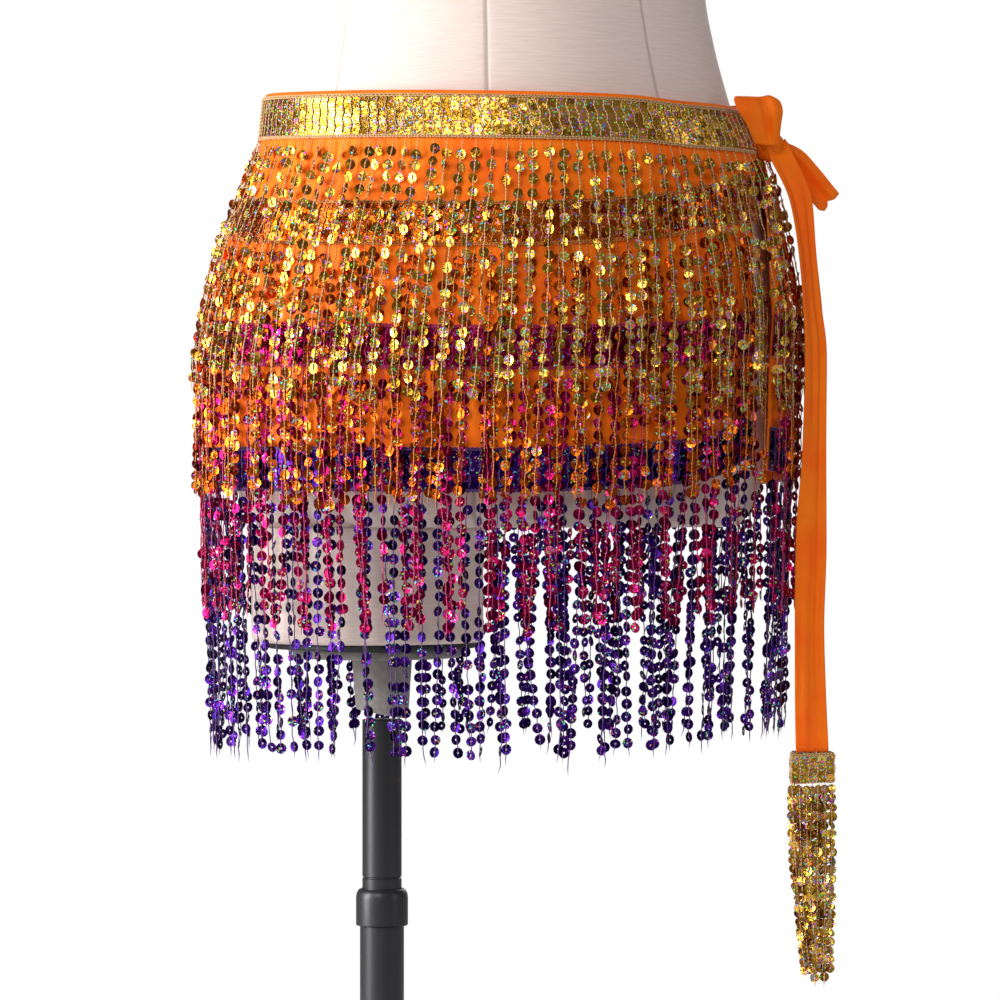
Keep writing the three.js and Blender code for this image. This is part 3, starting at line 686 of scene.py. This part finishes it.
def make_fringe(colour, *nodes):
    rng = np.random.default_rng(COLOUR_SEED[colour] + 1)
    top = tape_top[colour]
    off_cloth = curve_through(FRINGE_LAYERS[colour], "drop", "out")
    free = 0.35 if colour in ("gold", "copper") else 1.0
    roots = angles_along(lambda a: top(a) - TAPE, 2.5, STRAND_PITCH)
    threads, discs = Pile(), Pile()
    drop = np.linspace(0, 1, 36)
    around = 180 / math.pi / HIP_RADIUS
    for root in roots:
        root = root + rng.normal(0, 0.35)
        length = STRAND + (PURPLE_EXTRA if colour == "purple" else 0.0) + rng.normal(0, 3.0)
        lean = rng.normal(0, 3.2) * free + rng.normal(0, 1.8)
        bow = rng.normal(0, 2.0) * free
        ripple, phase, rate = rng.uniform(0.15, 0.55), rng.uniform(0, 6.3), rng.uniform(0.28, 0.55)
        down = drop * length
        sway = lean * drop**1.4 + bow * np.sin(drop * math.pi) + ripple * np.sin(down * rate + phase)
        sway += rng.normal(0, 1.2) * np.clip((drop - 0.88) / 0.12, 0, 1) ** 2
        angle = root + sway * around
        depth = off_cloth(down) + rng.normal(0, 0.8) * drop + 0.3 * np.sin(down * rate * 1.3 + phase * 2)
        depth = depth + rng.normal(0, 1.6) * free * drop
        line = scarf_point(angle, top(root) - TAPE + 0.6 - down * 0.994, depth)
        run_thread(threads, line, 0.42 * MM, 0, rng.uniform(0.3, 1.0))
        # Discs, with a bare length here and there.
        at = 10.0 + rng.normal(0, 0.9) + np.arange(20) * DISC_PITCH
        at = at[(rng.random(len(at)) > 0.06) & (at < length - 1.5)] + rng.normal(0, 0.5)
        at = at + rng.normal(0, 0.45, len(at))
        centre = np.stack([np.interp(at, down, line[:, k]) for k in range(3)], -1)
        ahead = np.stack([np.interp(at - 2, down, line[:, k]) for k in range(3)], -1)
        out = outward(np.interp(at, down, angle))
        aside = np.cross(out, [0, 0, 1.0])
        twist = rng.normal(0, 0.42, len(at)) + rng.normal(0, 0.15)
        twist = np.where(rng.random(len(at)) < 0.17, rng.uniform(-1.5, 1.5, len(at)), twist)
        tilt = rng.normal(0, 0.16, (len(at), 1))
        facing = out * np.cos(twist)[:, None] + aside * np.sin(twist)[:, None] + tilt * UP
        centre = centre - out * 0.45 * MM + aside * rng.normal(0, 0.35, (len(at), 1)) * MM
        tints = np.clip(rng.beta(0.8, 1.7, len(at)) + rng.normal(0, 0.05), 0, 1)
        scale = rng.uniform(0.94, 1.03, len(at))
        sew_discs(discs, FRINGE_DISC, centre, facing, ahead - centre, tints, 0, scale)
    strands = threads.make(f"{colour}_fringe_threads", [THREADS[colour]])
    sequins = discs.make(f"{colour}_fringe_sequins", [FOILS[colour]])
    finish_piece(strands, f"{colour}_sequins", *nodes)
    finish_piece(sequins, f"{colour}_sequins")
    return [strands, sequins]


STRETCHES = ("front", "right_hip", "back", "left_hip")
fringes = (
    make_fringe("gold", "fringe_gold")
    + make_fringe("copper", "fringe_copper")
    + make_fringe("magenta", "fringe_magenta")
    + make_fringe("purple", *(f"fringe_purple_{stretch}" for stretch in STRETCHES))
)


# ---- Dress form ------------------------------------------------------------------------------------
# A foam torso covered in off-white linen, sewn in panels whose flat seams run down the front, the
# sides and the back. One thigh goes on as a short stub with a black edge and a board cap.
TORSO_SECTIONS = table(
    "z half front back middle",
    (404, 143, 94, 106, 69.5),
    (409, 148.5, 99, 112, 69.5),
    (440, 160, 106, 124, 69.5),
    (475, 164, 109, 130, 70),
    (510, 165, 110, 131, 71),
    (545, 162, 109.5, 128, 73),
    (575, 156.5, 107.5, 123, 74),
    (605, 148, 104, 115, 76),
    (635, 139, 98, 105, 76),
    (660, 132.5, 93, 99, 75),
    (690, 125.5, 88.5, 94, 74),
    (720, 121, 85.5, 90, 73),
    (752, 119, 84, 87, 73),
    (790, 122, 88, 88, 73),
    (830, 129, 98, 92, 73),
    (870, 137, 111, 97, 73),
    (905, 143, 117, 100, 73),
    (940, 147, 111, 101, 73),
    (975, 151, 98, 99, 73),
    (1005, 151, 84, 93, 73),
    (1027, 137, 72, 82, 73),
    (1042, 106, 62, 70, 73),
    (1055, 70, 54, 60, 73),
    (1070, 52, 49, 53, 73),
    (1100, 47, 46, 48, 73),
)
THIGH_SECTIONS = table(
    "z half front back middle",
    (335.3, 67, 74, 78, -8),
    (338, 69.5, 77, 81, -8.5),
    (370, 69.5, 78, 83, -8.8),
    (403.7, 68.5, 80, 86, -6.5),
)
SEAM_ANGLES = (-5, 41, 90, 139, 180, 221, 270, 311)


def linen():
    """Plain linen: two sets of uneven threads crossing, with a slub here and there, and painted shade
    darkening the sunk seams.
    """
    material, nodes, links, shader = new_material("linen cover")
    uv = add_node(nodes, "UVMap", uv_map="cloth")
    heights = []
    for direction in ("X", "Y"):
        threads = add_node(nodes, "TexWave",
            {"Scale": 520.0, "Distortion": 1.6, "Detail": 2.0, "Detail Scale": 0.4},
            bands_direction=direction)
        join(links, (uv, "UV", threads, "Vector"))
        heights.append(threads)
    cross = add_node(nodes, "Math", operation="MAXIMUM")
    stretch = add_node(nodes, "Mapping", {"Scale": (60.0, 900.0, 1.0)})
    slubs = add_node(nodes, "TexNoise", {"Scale": 1.0, "Detail": 3.0})
    tone = two_tones(nodes, 0.25, (0.74, 0.59, 0.53), 0.75, (0.86, 0.71, 0.645))
    # Painted shade: along the sunk seams the colour is mixed towards a darker one.
    seam = add_node(nodes, "Attribute", attribute_name="seam")
    shade = add_node(nodes, "Mix", {7: (0.50, 0.41, 0.385, 1)}, data_type="RGBA")
    bump = add_node(nodes, "Bump", {"Strength": 0.3, "Distance": 0.0003})
    join(links,
         (heights[0], "Fac", cross, 0), (heights[1], "Fac", cross, 1), (cross, 0, bump, "Height"),
         (uv, "UV", stretch, "Vector"), (stretch, "Vector", slubs, "Vector"),
         (slubs, "Fac", tone, "Fac"), (tone, "Color", shade, 6), (seam, "Fac", shade, "Factor"),
         (shade, 2, shader, "Base Color"), (bump, "Normal", shader, "Normal"))
    shader.inputs["Roughness"].default_value = 0.85
    shader.inputs["Sheen Weight"].default_value = 0.15
    return material


LINEN = linen()


def covered_form(name, sections, rings, sides, seams, groove):
    """A closed oval form through a table of sections, with seams sunk along it and painted shade marked
    along them.
    """
    bottom, top = sections[0]["z"], sections[-1]["z"]
    share = np.linspace(0, 1, rings)
    z = bottom + (top - bottom) * share
    shape = {c: curve_through(sections, "z", c)(z) for c in ("half", "front", "back", "middle")}
    # Columns crowd round each seam so that it can be narrow.
    angle = np.linspace(-180, 180, sides, endpoint=False)
    for seam in seams:
        seam = (seam + 180) % 360 - 180
        nearest = np.argmin(np.abs(angle - seam))
        angle[nearest] = seam
        extra = seam + np.array([-1.1, -0.55, 0.55, 1.1])
        angle = np.concatenate([angle[(np.abs(angle - seam) > 1.4) | (angle == seam)], extra])
    angle = np.sort(angle)
    a = np.radians(angle)[None]
    reach = np.where(np.cos(a) > 0, shape["front"][:, None], shape["back"][:, None])
    sunk = np.zeros_like(angle)
    for seam in seams:
        away = (angle - seam + 180) % 360 - 180
        sunk += np.exp(-((away / 0.4) ** 2))
    sunk = np.minimum(sunk, 1)[None] * groove
    x = shape["middle"][:, None] + (shape["half"][:, None] - sunk) * np.sin(a)
    y = -(reach - sunk) * np.cos(a)
    points = np.stack([x, y, np.broadcast_to(z[:, None], x.shape)], -1) * MM
    # The first column again closes the form, and one face closes each end.
    columns = len(angle)
    lengths = cloth_lengths(np.concatenate([points, points[:, :1]], 1))
    index = np.arange(rings * columns).reshape(rings, columns)
    after = np.roll(index, -1, 1)
    faces = np.stack([index[:-1], after[:-1], after[1:], index[1:]], -1).reshape(-1, 4)
    u = lengths[:, :, 0]
    v = lengths[:, :, 1]
    corner_u = np.stack([u[:-1, :-1], u[:-1, 1:], u[1:, 1:], u[1:, :-1]], -1).reshape(-1)
    corner_v = np.stack([v[:-1, :-1], v[:-1, 1:], v[1:, 1:], v[1:, :-1]], -1).reshape(-1)
    mesh = bpy.data.meshes.new(name)
    ends = [index[0][::-1].tolist(), index[-1].tolist()]
    mesh.from_pydata(points.reshape(-1, 3).tolist(), [], faces.tolist() + ends)
    layer = mesh.uv_layers.new(name="cloth")
    flat = points.reshape(-1, 3)[ends[0] + ends[1]][:, :2]
    uv = np.concatenate([np.stack([corner_u, corner_v], -1), flat])
    layer.data.foreach_set("uv", uv.astype(np.float32).ravel())
    # The sunk seams are marked for the linen's painted shade, which darkens its colour along them.
    painted_seam_shade = mesh.attributes.new("seam", "FLOAT", "POINT")
    shadow = np.broadcast_to(sunk / max(groove, 1e-6), (rings, columns))
    painted_seam_shade.data.foreach_set("value", shadow.astype(np.float32).ravel())
    mesh.materials.append(LINEN)
    smooth = np.ones(len(faces) + 2, bool)
    smooth[-2:] = False
    mesh.polygons.foreach_set("use_smooth", smooth)
    piece = bpy.data.objects.new(name, mesh)
    bpy.context.scene.collection.objects.link(piece)
    return piece


torso = covered_form("linen_torso", TORSO_SECTIONS, 150, 150, SEAM_ANGLES, 0.7)
finish_piece(torso, "linen_cover", "form_torso")
thigh = covered_form("linen_thigh", THIGH_SECTIONS, 30, 96, (90, 270), 0.6)
finish_piece(thigh, "linen_cover", "form_thigh")


# ---- Caps of the form ------------------------------------------------------------------------------
# Plates of grey board close the thigh and the neck, and a strip of black edging runs round the thigh's
# end. A tapered socket of the same board takes the pole.
def plain_finish(name, dark, light, roughness, grain=260.0, bump_height=0.0002):
    """A matte finish with a little mottling."""
    material, nodes, links, shader = new_material(name)
    place = add_node(nodes, "TexCoord")
    noise = add_node(nodes, "TexNoise", {"Scale": grain, "Detail": 4.0})
    tone = two_tones(nodes, 0.3, dark, 0.7, light)
    bump = add_node(nodes, "Bump", {"Strength": 0.4, "Distance": bump_height})
    join(links,
         (place, "Object", noise, "Vector"), (noise, "Fac", tone, "Fac"),
         (noise, "Fac", bump, "Height"), (tone, "Color", shader, "Base Color"),
         (bump, "Normal", shader, "Normal"))
    shader.inputs["Roughness"].default_value = roughness
    return material


BOARD = plain_finish("grey board", (0.20, 0.18, 0.17), (0.30, 0.27, 0.255), 0.75)
EDGING = plain_finish("black edging", (0.008, 0.008, 0.009), (0.02, 0.02, 0.022), 0.55)


def rounded_plate(name, node, half, depth, middle, material, slot, bevel):
    """An oval plate with rounded edges in the room of a CAD plate."""
    low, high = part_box(node)
    bpy.ops.object.select_all(action="DESELECT")
    bpy.ops.mesh.primitive_cylinder_add(vertices=72, radius=1, depth=1, location=(0, 0, 0))
    plate = bpy.context.object
    plate.name = name
    plate.scale = (half * MM, depth * MM, high.z - low.z)
    plate.location = (middle * MM, 0, (high.z + low.z) / 2)
    bpy.ops.object.transform_apply(location=True, rotation=True, scale=True)
    plate.data.materials.append(material)
    apply_modifier(plate, "BEVEL", width=bevel * MM, segments=3, limit_method="ANGLE")
    bpy.ops.object.shade_smooth_by_angle(angle=math.radians(40))
    finish_piece(plate, slot, node)
    return plate


rounded_plate("thigh_edging", "thigh_rim", 63, 72, -6, EDGING, "black_edging", 1.0)
rounded_plate("thigh_plate", "thigh_cap", 52, 60, -4, BOARD, "grey_board", 1.4)
rounded_plate("neck_plate", "neck_cap", 45, 45, 73, BOARD, "grey_board", 1.6)


# ---- Stand -----------------------------------------------------------------------------------------
# A black painted steel pole in a wider tube, with a collar at the joint, on a round pressed base. The
# paint is scuffed down to rust in a few spots.
def black_paint():
    material, nodes, links, shader = new_material("black paint")
    place = add_node(nodes, "TexCoord")
    patches = add_node(nodes, "TexNoise", {"Scale": 34.0, "Detail": 6.0, "Roughness": 0.62})
    worn = two_tones(nodes, 0.685, (0, 0, 0), 0.72, (1, 1, 1))
    paint = add_node(nodes, "Mix",
        {6: (0.0085, 0.0085, 0.012, 1), 7: (0.16, 0.045, 0.018, 1)}, data_type="RGBA")
    fine = add_node(nodes, "TexNoise", {"Scale": 420.0})
    rough = add_node(nodes, "MapRange", {"To Min": 0.42, "To Max": 0.8})
    bump = add_node(nodes, "Bump", {"Strength": 0.25, "Distance": 0.0002})
    join(links,
         (place, "Object", patches, "Vector"), (place, "Object", fine, "Vector"),
         (patches, "Fac", worn, "Fac"), (worn, "Color", paint, "Factor"),
         (worn, "Color", rough, "Value"), (paint, 2, shader, "Base Color"),
         (rough, "Result", shader, "Roughness"), (fine, "Fac", bump, "Height"),
         (bump, "Normal", shader, "Normal"))
    shader.inputs["Coat Weight"].default_value = 0.1
    shader.inputs["Coat Roughness"].default_value = 0.25
    return material


PAINT = black_paint()


def turned_piece(name, outline, material, sides=64):
    """A round piece about the pole's axis, spun from an outline of radius and height in mm."""
    mesh = bpy.data.meshes.new(name)
    points = [(radius * MM, 0, z * MM) for radius, z in outline]
    mesh.from_pydata(points, [(i, i + 1) for i in range(len(points) - 1)], [])
    piece = bpy.data.objects.new(name, mesh)
    bpy.context.scene.collection.objects.link(piece)
    pick(piece)
    bpy.ops.object.mode_set(mode="EDIT")
    bpy.ops.mesh.select_all(action="SELECT")
    bpy.ops.mesh.spin(steps=sides, angle=2 * math.pi, center=(0, 0, 0), axis=(0, 0, 1))
    bpy.ops.mesh.select_all(action="SELECT")
    bpy.ops.mesh.remove_doubles(threshold=0.00002)
    bpy.ops.mesh.normals_make_consistent(inside=False)
    bpy.ops.object.mode_set(mode="OBJECT")
    piece.data.materials.append(material)
    bpy.ops.object.shade_smooth_by_angle(angle=math.radians(35))
    return piece


pole = turned_piece("painted_pole", [
    (0, 60), (11.8, 60), (11.8, 193.2), (11.3, 193.6), (11.3, 194.2), (11.8, 194.6), (11.8, 288),
    (11.3, 288.5), (0, 288.5),
], PAINT)
finish_piece(pole, "black_steel", "pole")
collar = turned_piece("painted_collar", [
    (12.3, 178.4), (13.6, 178.4), (13.6, 165), (15.1, 165), (15.6, 165.6), (15.6, 181.5), (15.3, 184),
    (14.4, 186), (13.2, 187), (12.3, 187), (12.3, 178.4),
], PAINT)
finish_piece(collar, "black_steel", "pole_collar")
tube = turned_piece("painted_tube", [
    (12.3, 12.3), (13.2, 12.3), (13.2, 177.6), (12.9, 178), (12.3, 178), (12.3, 12.3),
], PAINT)
finish_piece(tube, "black_steel", "lower_tube")
base = turned_piece("painted_base", [
    (0, 0), (163.5, 0), (165, 1.2), (165, 7.5), (164, 9.8), (161.5, 11.4), (157, 12), (19, 12), (0, 12),
], PAINT, sides=128)
finish_piece(base, "black_steel", "stand_base")
socket = turned_piece("tapered_socket", [
    (0, 292), (15.2, 292), (15.8, 292.8), (18, 325), (17.6, 325.7), (0, 325.7),
], BOARD, sides=48)
for corner in socket.data.vertices:
    share = max(0.0, (0.3257 - corner.co.z) / 0.0337)
    corner.co.z -= 3 * MM * share * corner.co.x / (15.6 * MM)
finish_piece(socket, "grey_board", "pole_socket")


# ---- Tie -------------------------------------------------------------------------------------------
# The waist's two ends run into a knot over the wearer's left hip and come out as two loops and two
# long tails, all of the same folded jersey.
def strip_of_cloth(name, stations, folds, thickness, nodes, rows=70, columns=17):
    """A strip between two long edges, with folds that run down it."""
    down = np.linspace(0, 1, rows)
    keys = np.linspace(0, 1, len(stations))
    table = [{"at": k, **station} for k, station in zip(keys, stations)]
    edge = {c: curve_through(table, "at", c)(down) for c in ("ax", "ay", "az", "bx", "by", "bz", "belly")}
    left = np.stack([edge["ax"], edge["ay"], edge["az"]], -1)
    right = np.stack([edge["bx"], edge["by"], edge["bz"]], -1)
    across = np.linspace(0, 1, columns)
    points = left[:, None] + (right - left)[:, None] * across[None, :, None]
    along = np.gradient((left + right) / 2, axis=0)
    out = np.cross(right - left, along)
    out /= np.linalg.norm(out, axis=1, keepdims=True)
    lift = edge["belly"][:, None] * (1 - (2 * across - 1) ** 2)[None]
    for fold in folds:
        centre = fold["from"] + (fold["to"] - fold["from"]) * down[:, None]
        fade = np.clip(np.minimum(down - fold["start"], fold["end"] - down) / 0.08, 0, 1)[:, None]
        lift = lift + fade * fold["high"] * np.exp(-(((across[None] - centre) / fold["wide"]) ** 2))
    points = (points + out[:, None] * lift[..., None]) * MM
    strip = cloth_mesh(name, points, JERSEY, cloth_lengths(points))
    apply_modifier(strip, "SOLIDIFY", thickness=thickness * MM, offset=0.0)
    apply_modifier(strip, "SUBSURF", levels=1, render_levels=1)
    finish_piece(strip, "orange_cloth", *nodes)
    return strip


TAIL_OUTER = table(
    "ax ay az bx by bz belly",
    (230, -32, 624, 240, -27, 635, 1.5),
    (242, -38, 597, 256, -28, 598, 1.5),
    (247, -37, 570, 258.5, -24, 570, 1.2),
    (250, -34, 540, 261.5, -19, 540, 1.0),
    (251.5, -32, 505, 265.5, -18, 505, 0.8),
    (250, -31, 450, 265, -20, 450, 0.8),
    (246, -29, 395, 265, -23, 395, 0.8),
    (245.5, -29, 345, 263.5, -24, 345, 1.0),
    (245.5, -29, 305, 264.5, -25, 305, 0.8),
    (246, -29, 270.3, 266, -26, 270.3, 0.3),
)
TAIL_INNER = table(
    "ax ay az bx by bz belly",
    (241, -28, 616, 250, -22, 618, 0.6),
    (247, -29.5, 590, 256, -20, 591, 0.6),
    (251.5, -27, 560, 260, -15, 560, 0.6),
    (254, -25, 520, 264, -11, 520, 0.6),
    (253, -24, 470, 265, -12, 470, 0.6),
    (250, -22, 420, 265, -15, 420, 0.6),
    (248.5, -22, 360, 263, -17, 360, 0.6),
    (248, -22, 300, 264, -18, 300, 0.6),
    (248, -22, 270.3, 265, -19, 270.3, 0.2),
)
LOOP_UPPER = table(
    "ax ay az bx by bz belly",
    (221.5, -39.5, 630, 235.5, -36.5, 630, 1.5),
    (215.5, -47, 641, 236.5, -40, 641, 1.2),
    (209.5, -53, 650, 237.5, -43, 649, 0.8),
    (208, -53, 655, 236, -42, 654.5, 0.5),
    (209, -48.5, 657, 233, -37, 657, 0.3),
    (212, -45, 653, 231, -33.5, 654, 0.3),
    (218, -41.5, 645, 232, -31.5, 646, 0.3),
    (224, -35, 639.5, 234, -30, 639.5, 0.3),
)
LOOP_SIDE = table(
    "ax ay az bx by bz belly",
    (235, -24, 624, 235.5, -21, 635, 0.6),
    (247.5, -19, 612, 250, -16.5, 629, 1.2),
    (255, -14, 600, 261, -13.5, 618, 1.4),
    (262, -11.5, 593, 271, -11.5, 606, 0.8),
    (264.5, -8, 593, 273.5, -8, 603.5, 0.4),
    (262, -4.5, 593.5, 271, -4.5, 606, 0.4),
    (255.5, -6, 602, 260.5, -6, 617, 0.4),
    (248.5, -9.5, 613, 249.5, -9.5, 627, 0.4),
    (241, -15, 624, 241.5, -14, 634, 0.4),
)
TAIL_FOLDS = table(
    "from to start end high wide",
    (0.30, 0.62, 0.0, 0.55, 2.0, 0.13),
    (0.82, 0.72, 0.08, 0.92, 1.8, 0.10),
    (0.55, 0.30, 0.62, 1.0, -1.7, 0.12),
)
LOOP_FOLDS = table(
    "from to start end high wide",
    (0.62, 0.66, 0.0, 0.5, -2.6, 0.10),
    (0.80, 0.82, 0.0, 0.6, 1.8, 0.12),
)
SIDE_FOLDS = table(
    "from to start end high wide",
    (0.45, 0.40, 0.0, 0.7, 2.0, 0.13),
    (0.75, 0.72, 0.0, 0.5, -1.9, 0.11),
)
tail_outer = strip_of_cloth("outer_tail", TAIL_OUTER, TAIL_FOLDS, 1.2, ["tail_outer"])
tail_inner = strip_of_cloth("inner_tail", TAIL_INNER, TAIL_FOLDS[:1], 1.0, ["tail_inner"])
loop_upper = strip_of_cloth("upper_loop", LOOP_UPPER, LOOP_FOLDS, 1.1, ["bow_loop_upper"], rows=50)
loop_side = strip_of_cloth("side_loop", LOOP_SIDE, SIDE_FOLDS, 1.1, ["bow_loop_side"], rows=50)

TIE_FRONT = table(
    "ax ay az bx by bz belly",
    (211.9, -30.2, 649, 220.9, -31.3, 627.5, 0.2),
    (216.5, -28.4, 643, 221, -29.4, 627.5, 0.2),
    (219.6, -26.5, 638.5, 219.8, -27, 628, 0.2),
)
TIE_BACK = table(
    "ax ay az bx by bz belly",
    (217.8, -9, 649.5, 226.6, -9, 630, 0.2),
    (220.2, -12, 643, 226.6, -12, 630, 0.2),
    (222, -14.4, 638, 226.3, -14.4, 630, 0.2),
)
strip_of_cloth("front_tie_end", TIE_FRONT, LOOP_FOLDS[:1], 1.0, ["tie_front_end"], rows=12)
strip_of_cloth("back_tie_end", TIE_BACK, LOOP_FOLDS[:1], 1.0, ["tie_back_end"], rows=12)


def make_knot():
    """The knot: a round of cloth with the wrap's folds running over it."""
    low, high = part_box("knot")
    centre, size = (low + high) / 2, (high - low) / 2
    bpy.ops.object.select_all(action="DESELECT")
    bpy.ops.mesh.primitive_uv_sphere_add(segments=48, ring_count=32, radius=1, location=(0, 0, 0))
    knot = bpy.context.object
    knot.name = "tied_knot"
    for corner in knot.data.vertices:
        x, y, z = corner.co
        fold = 0.05 * math.sin(9 * (x * 0.8 + z * 0.6) + 2 * y) + 0.03 * math.sin(17 * (x * 0.7 + z * 0.7))
        corner.co = (
            centre.x + x * (1 + fold) * size.x,
            centre.y + y * (1 + fold) * size.y,
            centre.z + z * (1 + fold) * size.z,
        )
    knot.data.uv_layers[0].name = "cloth"
    knot.data.materials.append(JERSEY)
    bpy.ops.object.shade_smooth()
    finish_piece(knot, "orange_cloth", "knot")
    return knot


knot = make_knot()


# ---- Tail ends -------------------------------------------------------------------------------------
# Each tail's end is closed in a short piece of the gold tape, folded over it, and under the tape hangs a
# gold tassel of seven strands with closely spaced discs.
def make_tail_end(name, x, y, turn, seed, skew):
    rng = np.random.default_rng(seed)
    width, thick, top, bottom = 26.0, 3.6, 270.0, 252.0
    turn = math.radians(turn)
    right = np.array([math.cos(turn), math.sin(turn), 0])
    front = np.array([math.sin(turn), -math.cos(turn), 0])
    middle = np.array([x, y, 0.0])
    tape, tassel, threads = Pile(), Pile(), Pile()

    def spot(across, z, out):
        across, z, out = np.broadcast_arrays(across, z, out)
        return (middle + right * across[..., None] + front * out[..., None]
                + UP * (z + skew * across)[..., None]) * MM

    # The folded tape under its discs.
    outline = np.array([[-0.5, 1], [0.5, 1], [0.5, -1], [-0.5, -1]])
    ends = np.array([bottom + 0.4, top - 0.3])
    ring = np.stack([spot(width * o[0], ends, thick * 0.42 * o[1]) for o in outline], 1)
    here, after = np.arange(4), (np.arange(4) + 1) % 4
    sides = np.stack([here, after, after + 4, here + 4], -1)
    caps = np.array([[3, 2, 1, 0], [4, 5, 6, 7]])
    tape.add(ring, np.concatenate([sides, caps]), 1, 0.3, 0.0)
    for side in (1, -1):
        rises = bottom + np.array([2.6, 6.4, 10.2, 14.0, 16.0])
        across, z = np.meshgrid(np.arange(-10.4, 10.5, 5.2), rises, indexing="ij")
        across, z = across.ravel(), z.ravel()
        places = spot(across, z, side * 2.05)
        facing = np.tile(front * side, (len(places), 1)) + rng.normal(0, 0.06, places.shape) + [0, 0, -0.1]
        sew_discs(tape, TAPE_DISC, places, facing, np.tile(UP, (len(places), 1)),
                  rng.uniform(0.2, 0.9, len(places)), 0, 0.95)
        for gap in np.arange(-13, 13.1, 5.2):
            steps = np.linspace(bottom + 0.6, top - 0.6, 12)
            line = spot(gap + 0.35 * np.sin(steps / 3.8 * math.pi), steps, side * 2.5)
            run_thread(tape, line, 0.4 * MM, 1, 0.8)
        for z in (bottom + 0.5, top - 0.5, top - 1.5):
            across = np.arange(-13, 13.1, 1.0)
            wiggle = np.where(np.arange(len(across)) % 2, 0.3, -0.3)
            run_thread(tape, spot(across, z + wiggle, side * 2.45), 0.5 * MM, 1, 0.9)
    # The tassel.
    for strand in range(7):
        root = -12 + 4 * strand
        length = 112 + rng.normal(0, 5)
        drop = np.linspace(0, 1, 40)
        end = root * 0.55 + 3.0 + rng.normal(0, 1.6)
        across = root + (end - root) * drop**1.8 + rng.normal(0, 0.7) * np.sin(drop * 5 + strand)
        out = rng.uniform(-1.4, 1.4) + rng.normal(0, 0.6) * drop
        line = spot(across, bottom - 0.4 - drop * length, np.broadcast_to(out, drop.shape))
        run_thread(threads, line, 0.4 * MM, 0, rng.uniform(0.4, 1))
        at = np.arange(4.0, length - 1, 5.3) + rng.normal(0, 0.4)
        places = np.stack([np.interp(at, drop * length, line[:, k]) for k in range(3)], -1)
        twist = rng.normal(0, 0.6, len(at))
        facing = front * np.cos(twist)[:, None] + right * np.sin(twist)[:, None]
        facing = facing + np.array([[0, 0, 1.0]]) * rng.normal(0.25, 0.3, (len(at), 1))
        sew_discs(tassel, FRINGE_DISC, places - front * 0.4 * MM, facing, np.tile(UP, (len(at), 1)),
                  rng.beta(1.6, 1.6, len(at)), 0, 0.92)
    pieces = [
        tape.make(f"{name}_end_tape", [FOILS["gold"], THREADS["gold"]]),
        threads.make(f"{name}_tassel_threads", [THREADS["gold"]]),
        tassel.make(f"{name}_tassel_sequins", [FOILS["gold"]]),
    ]
    finish_piece(pieces[0], "gold_sequins", f"tail_tape_{name}")
    finish_piece(pieces[1], "gold_sequins", f"tassel_{name}")
    finish_piece(pieces[2], "gold_sequins")
    return pieces


outer_end = make_tail_end("outer", 256, -27.5, 8, 71, 0.04)
inner_end = make_tail_end("inner", 256.5, -20.5, 8, 83, -0.03)
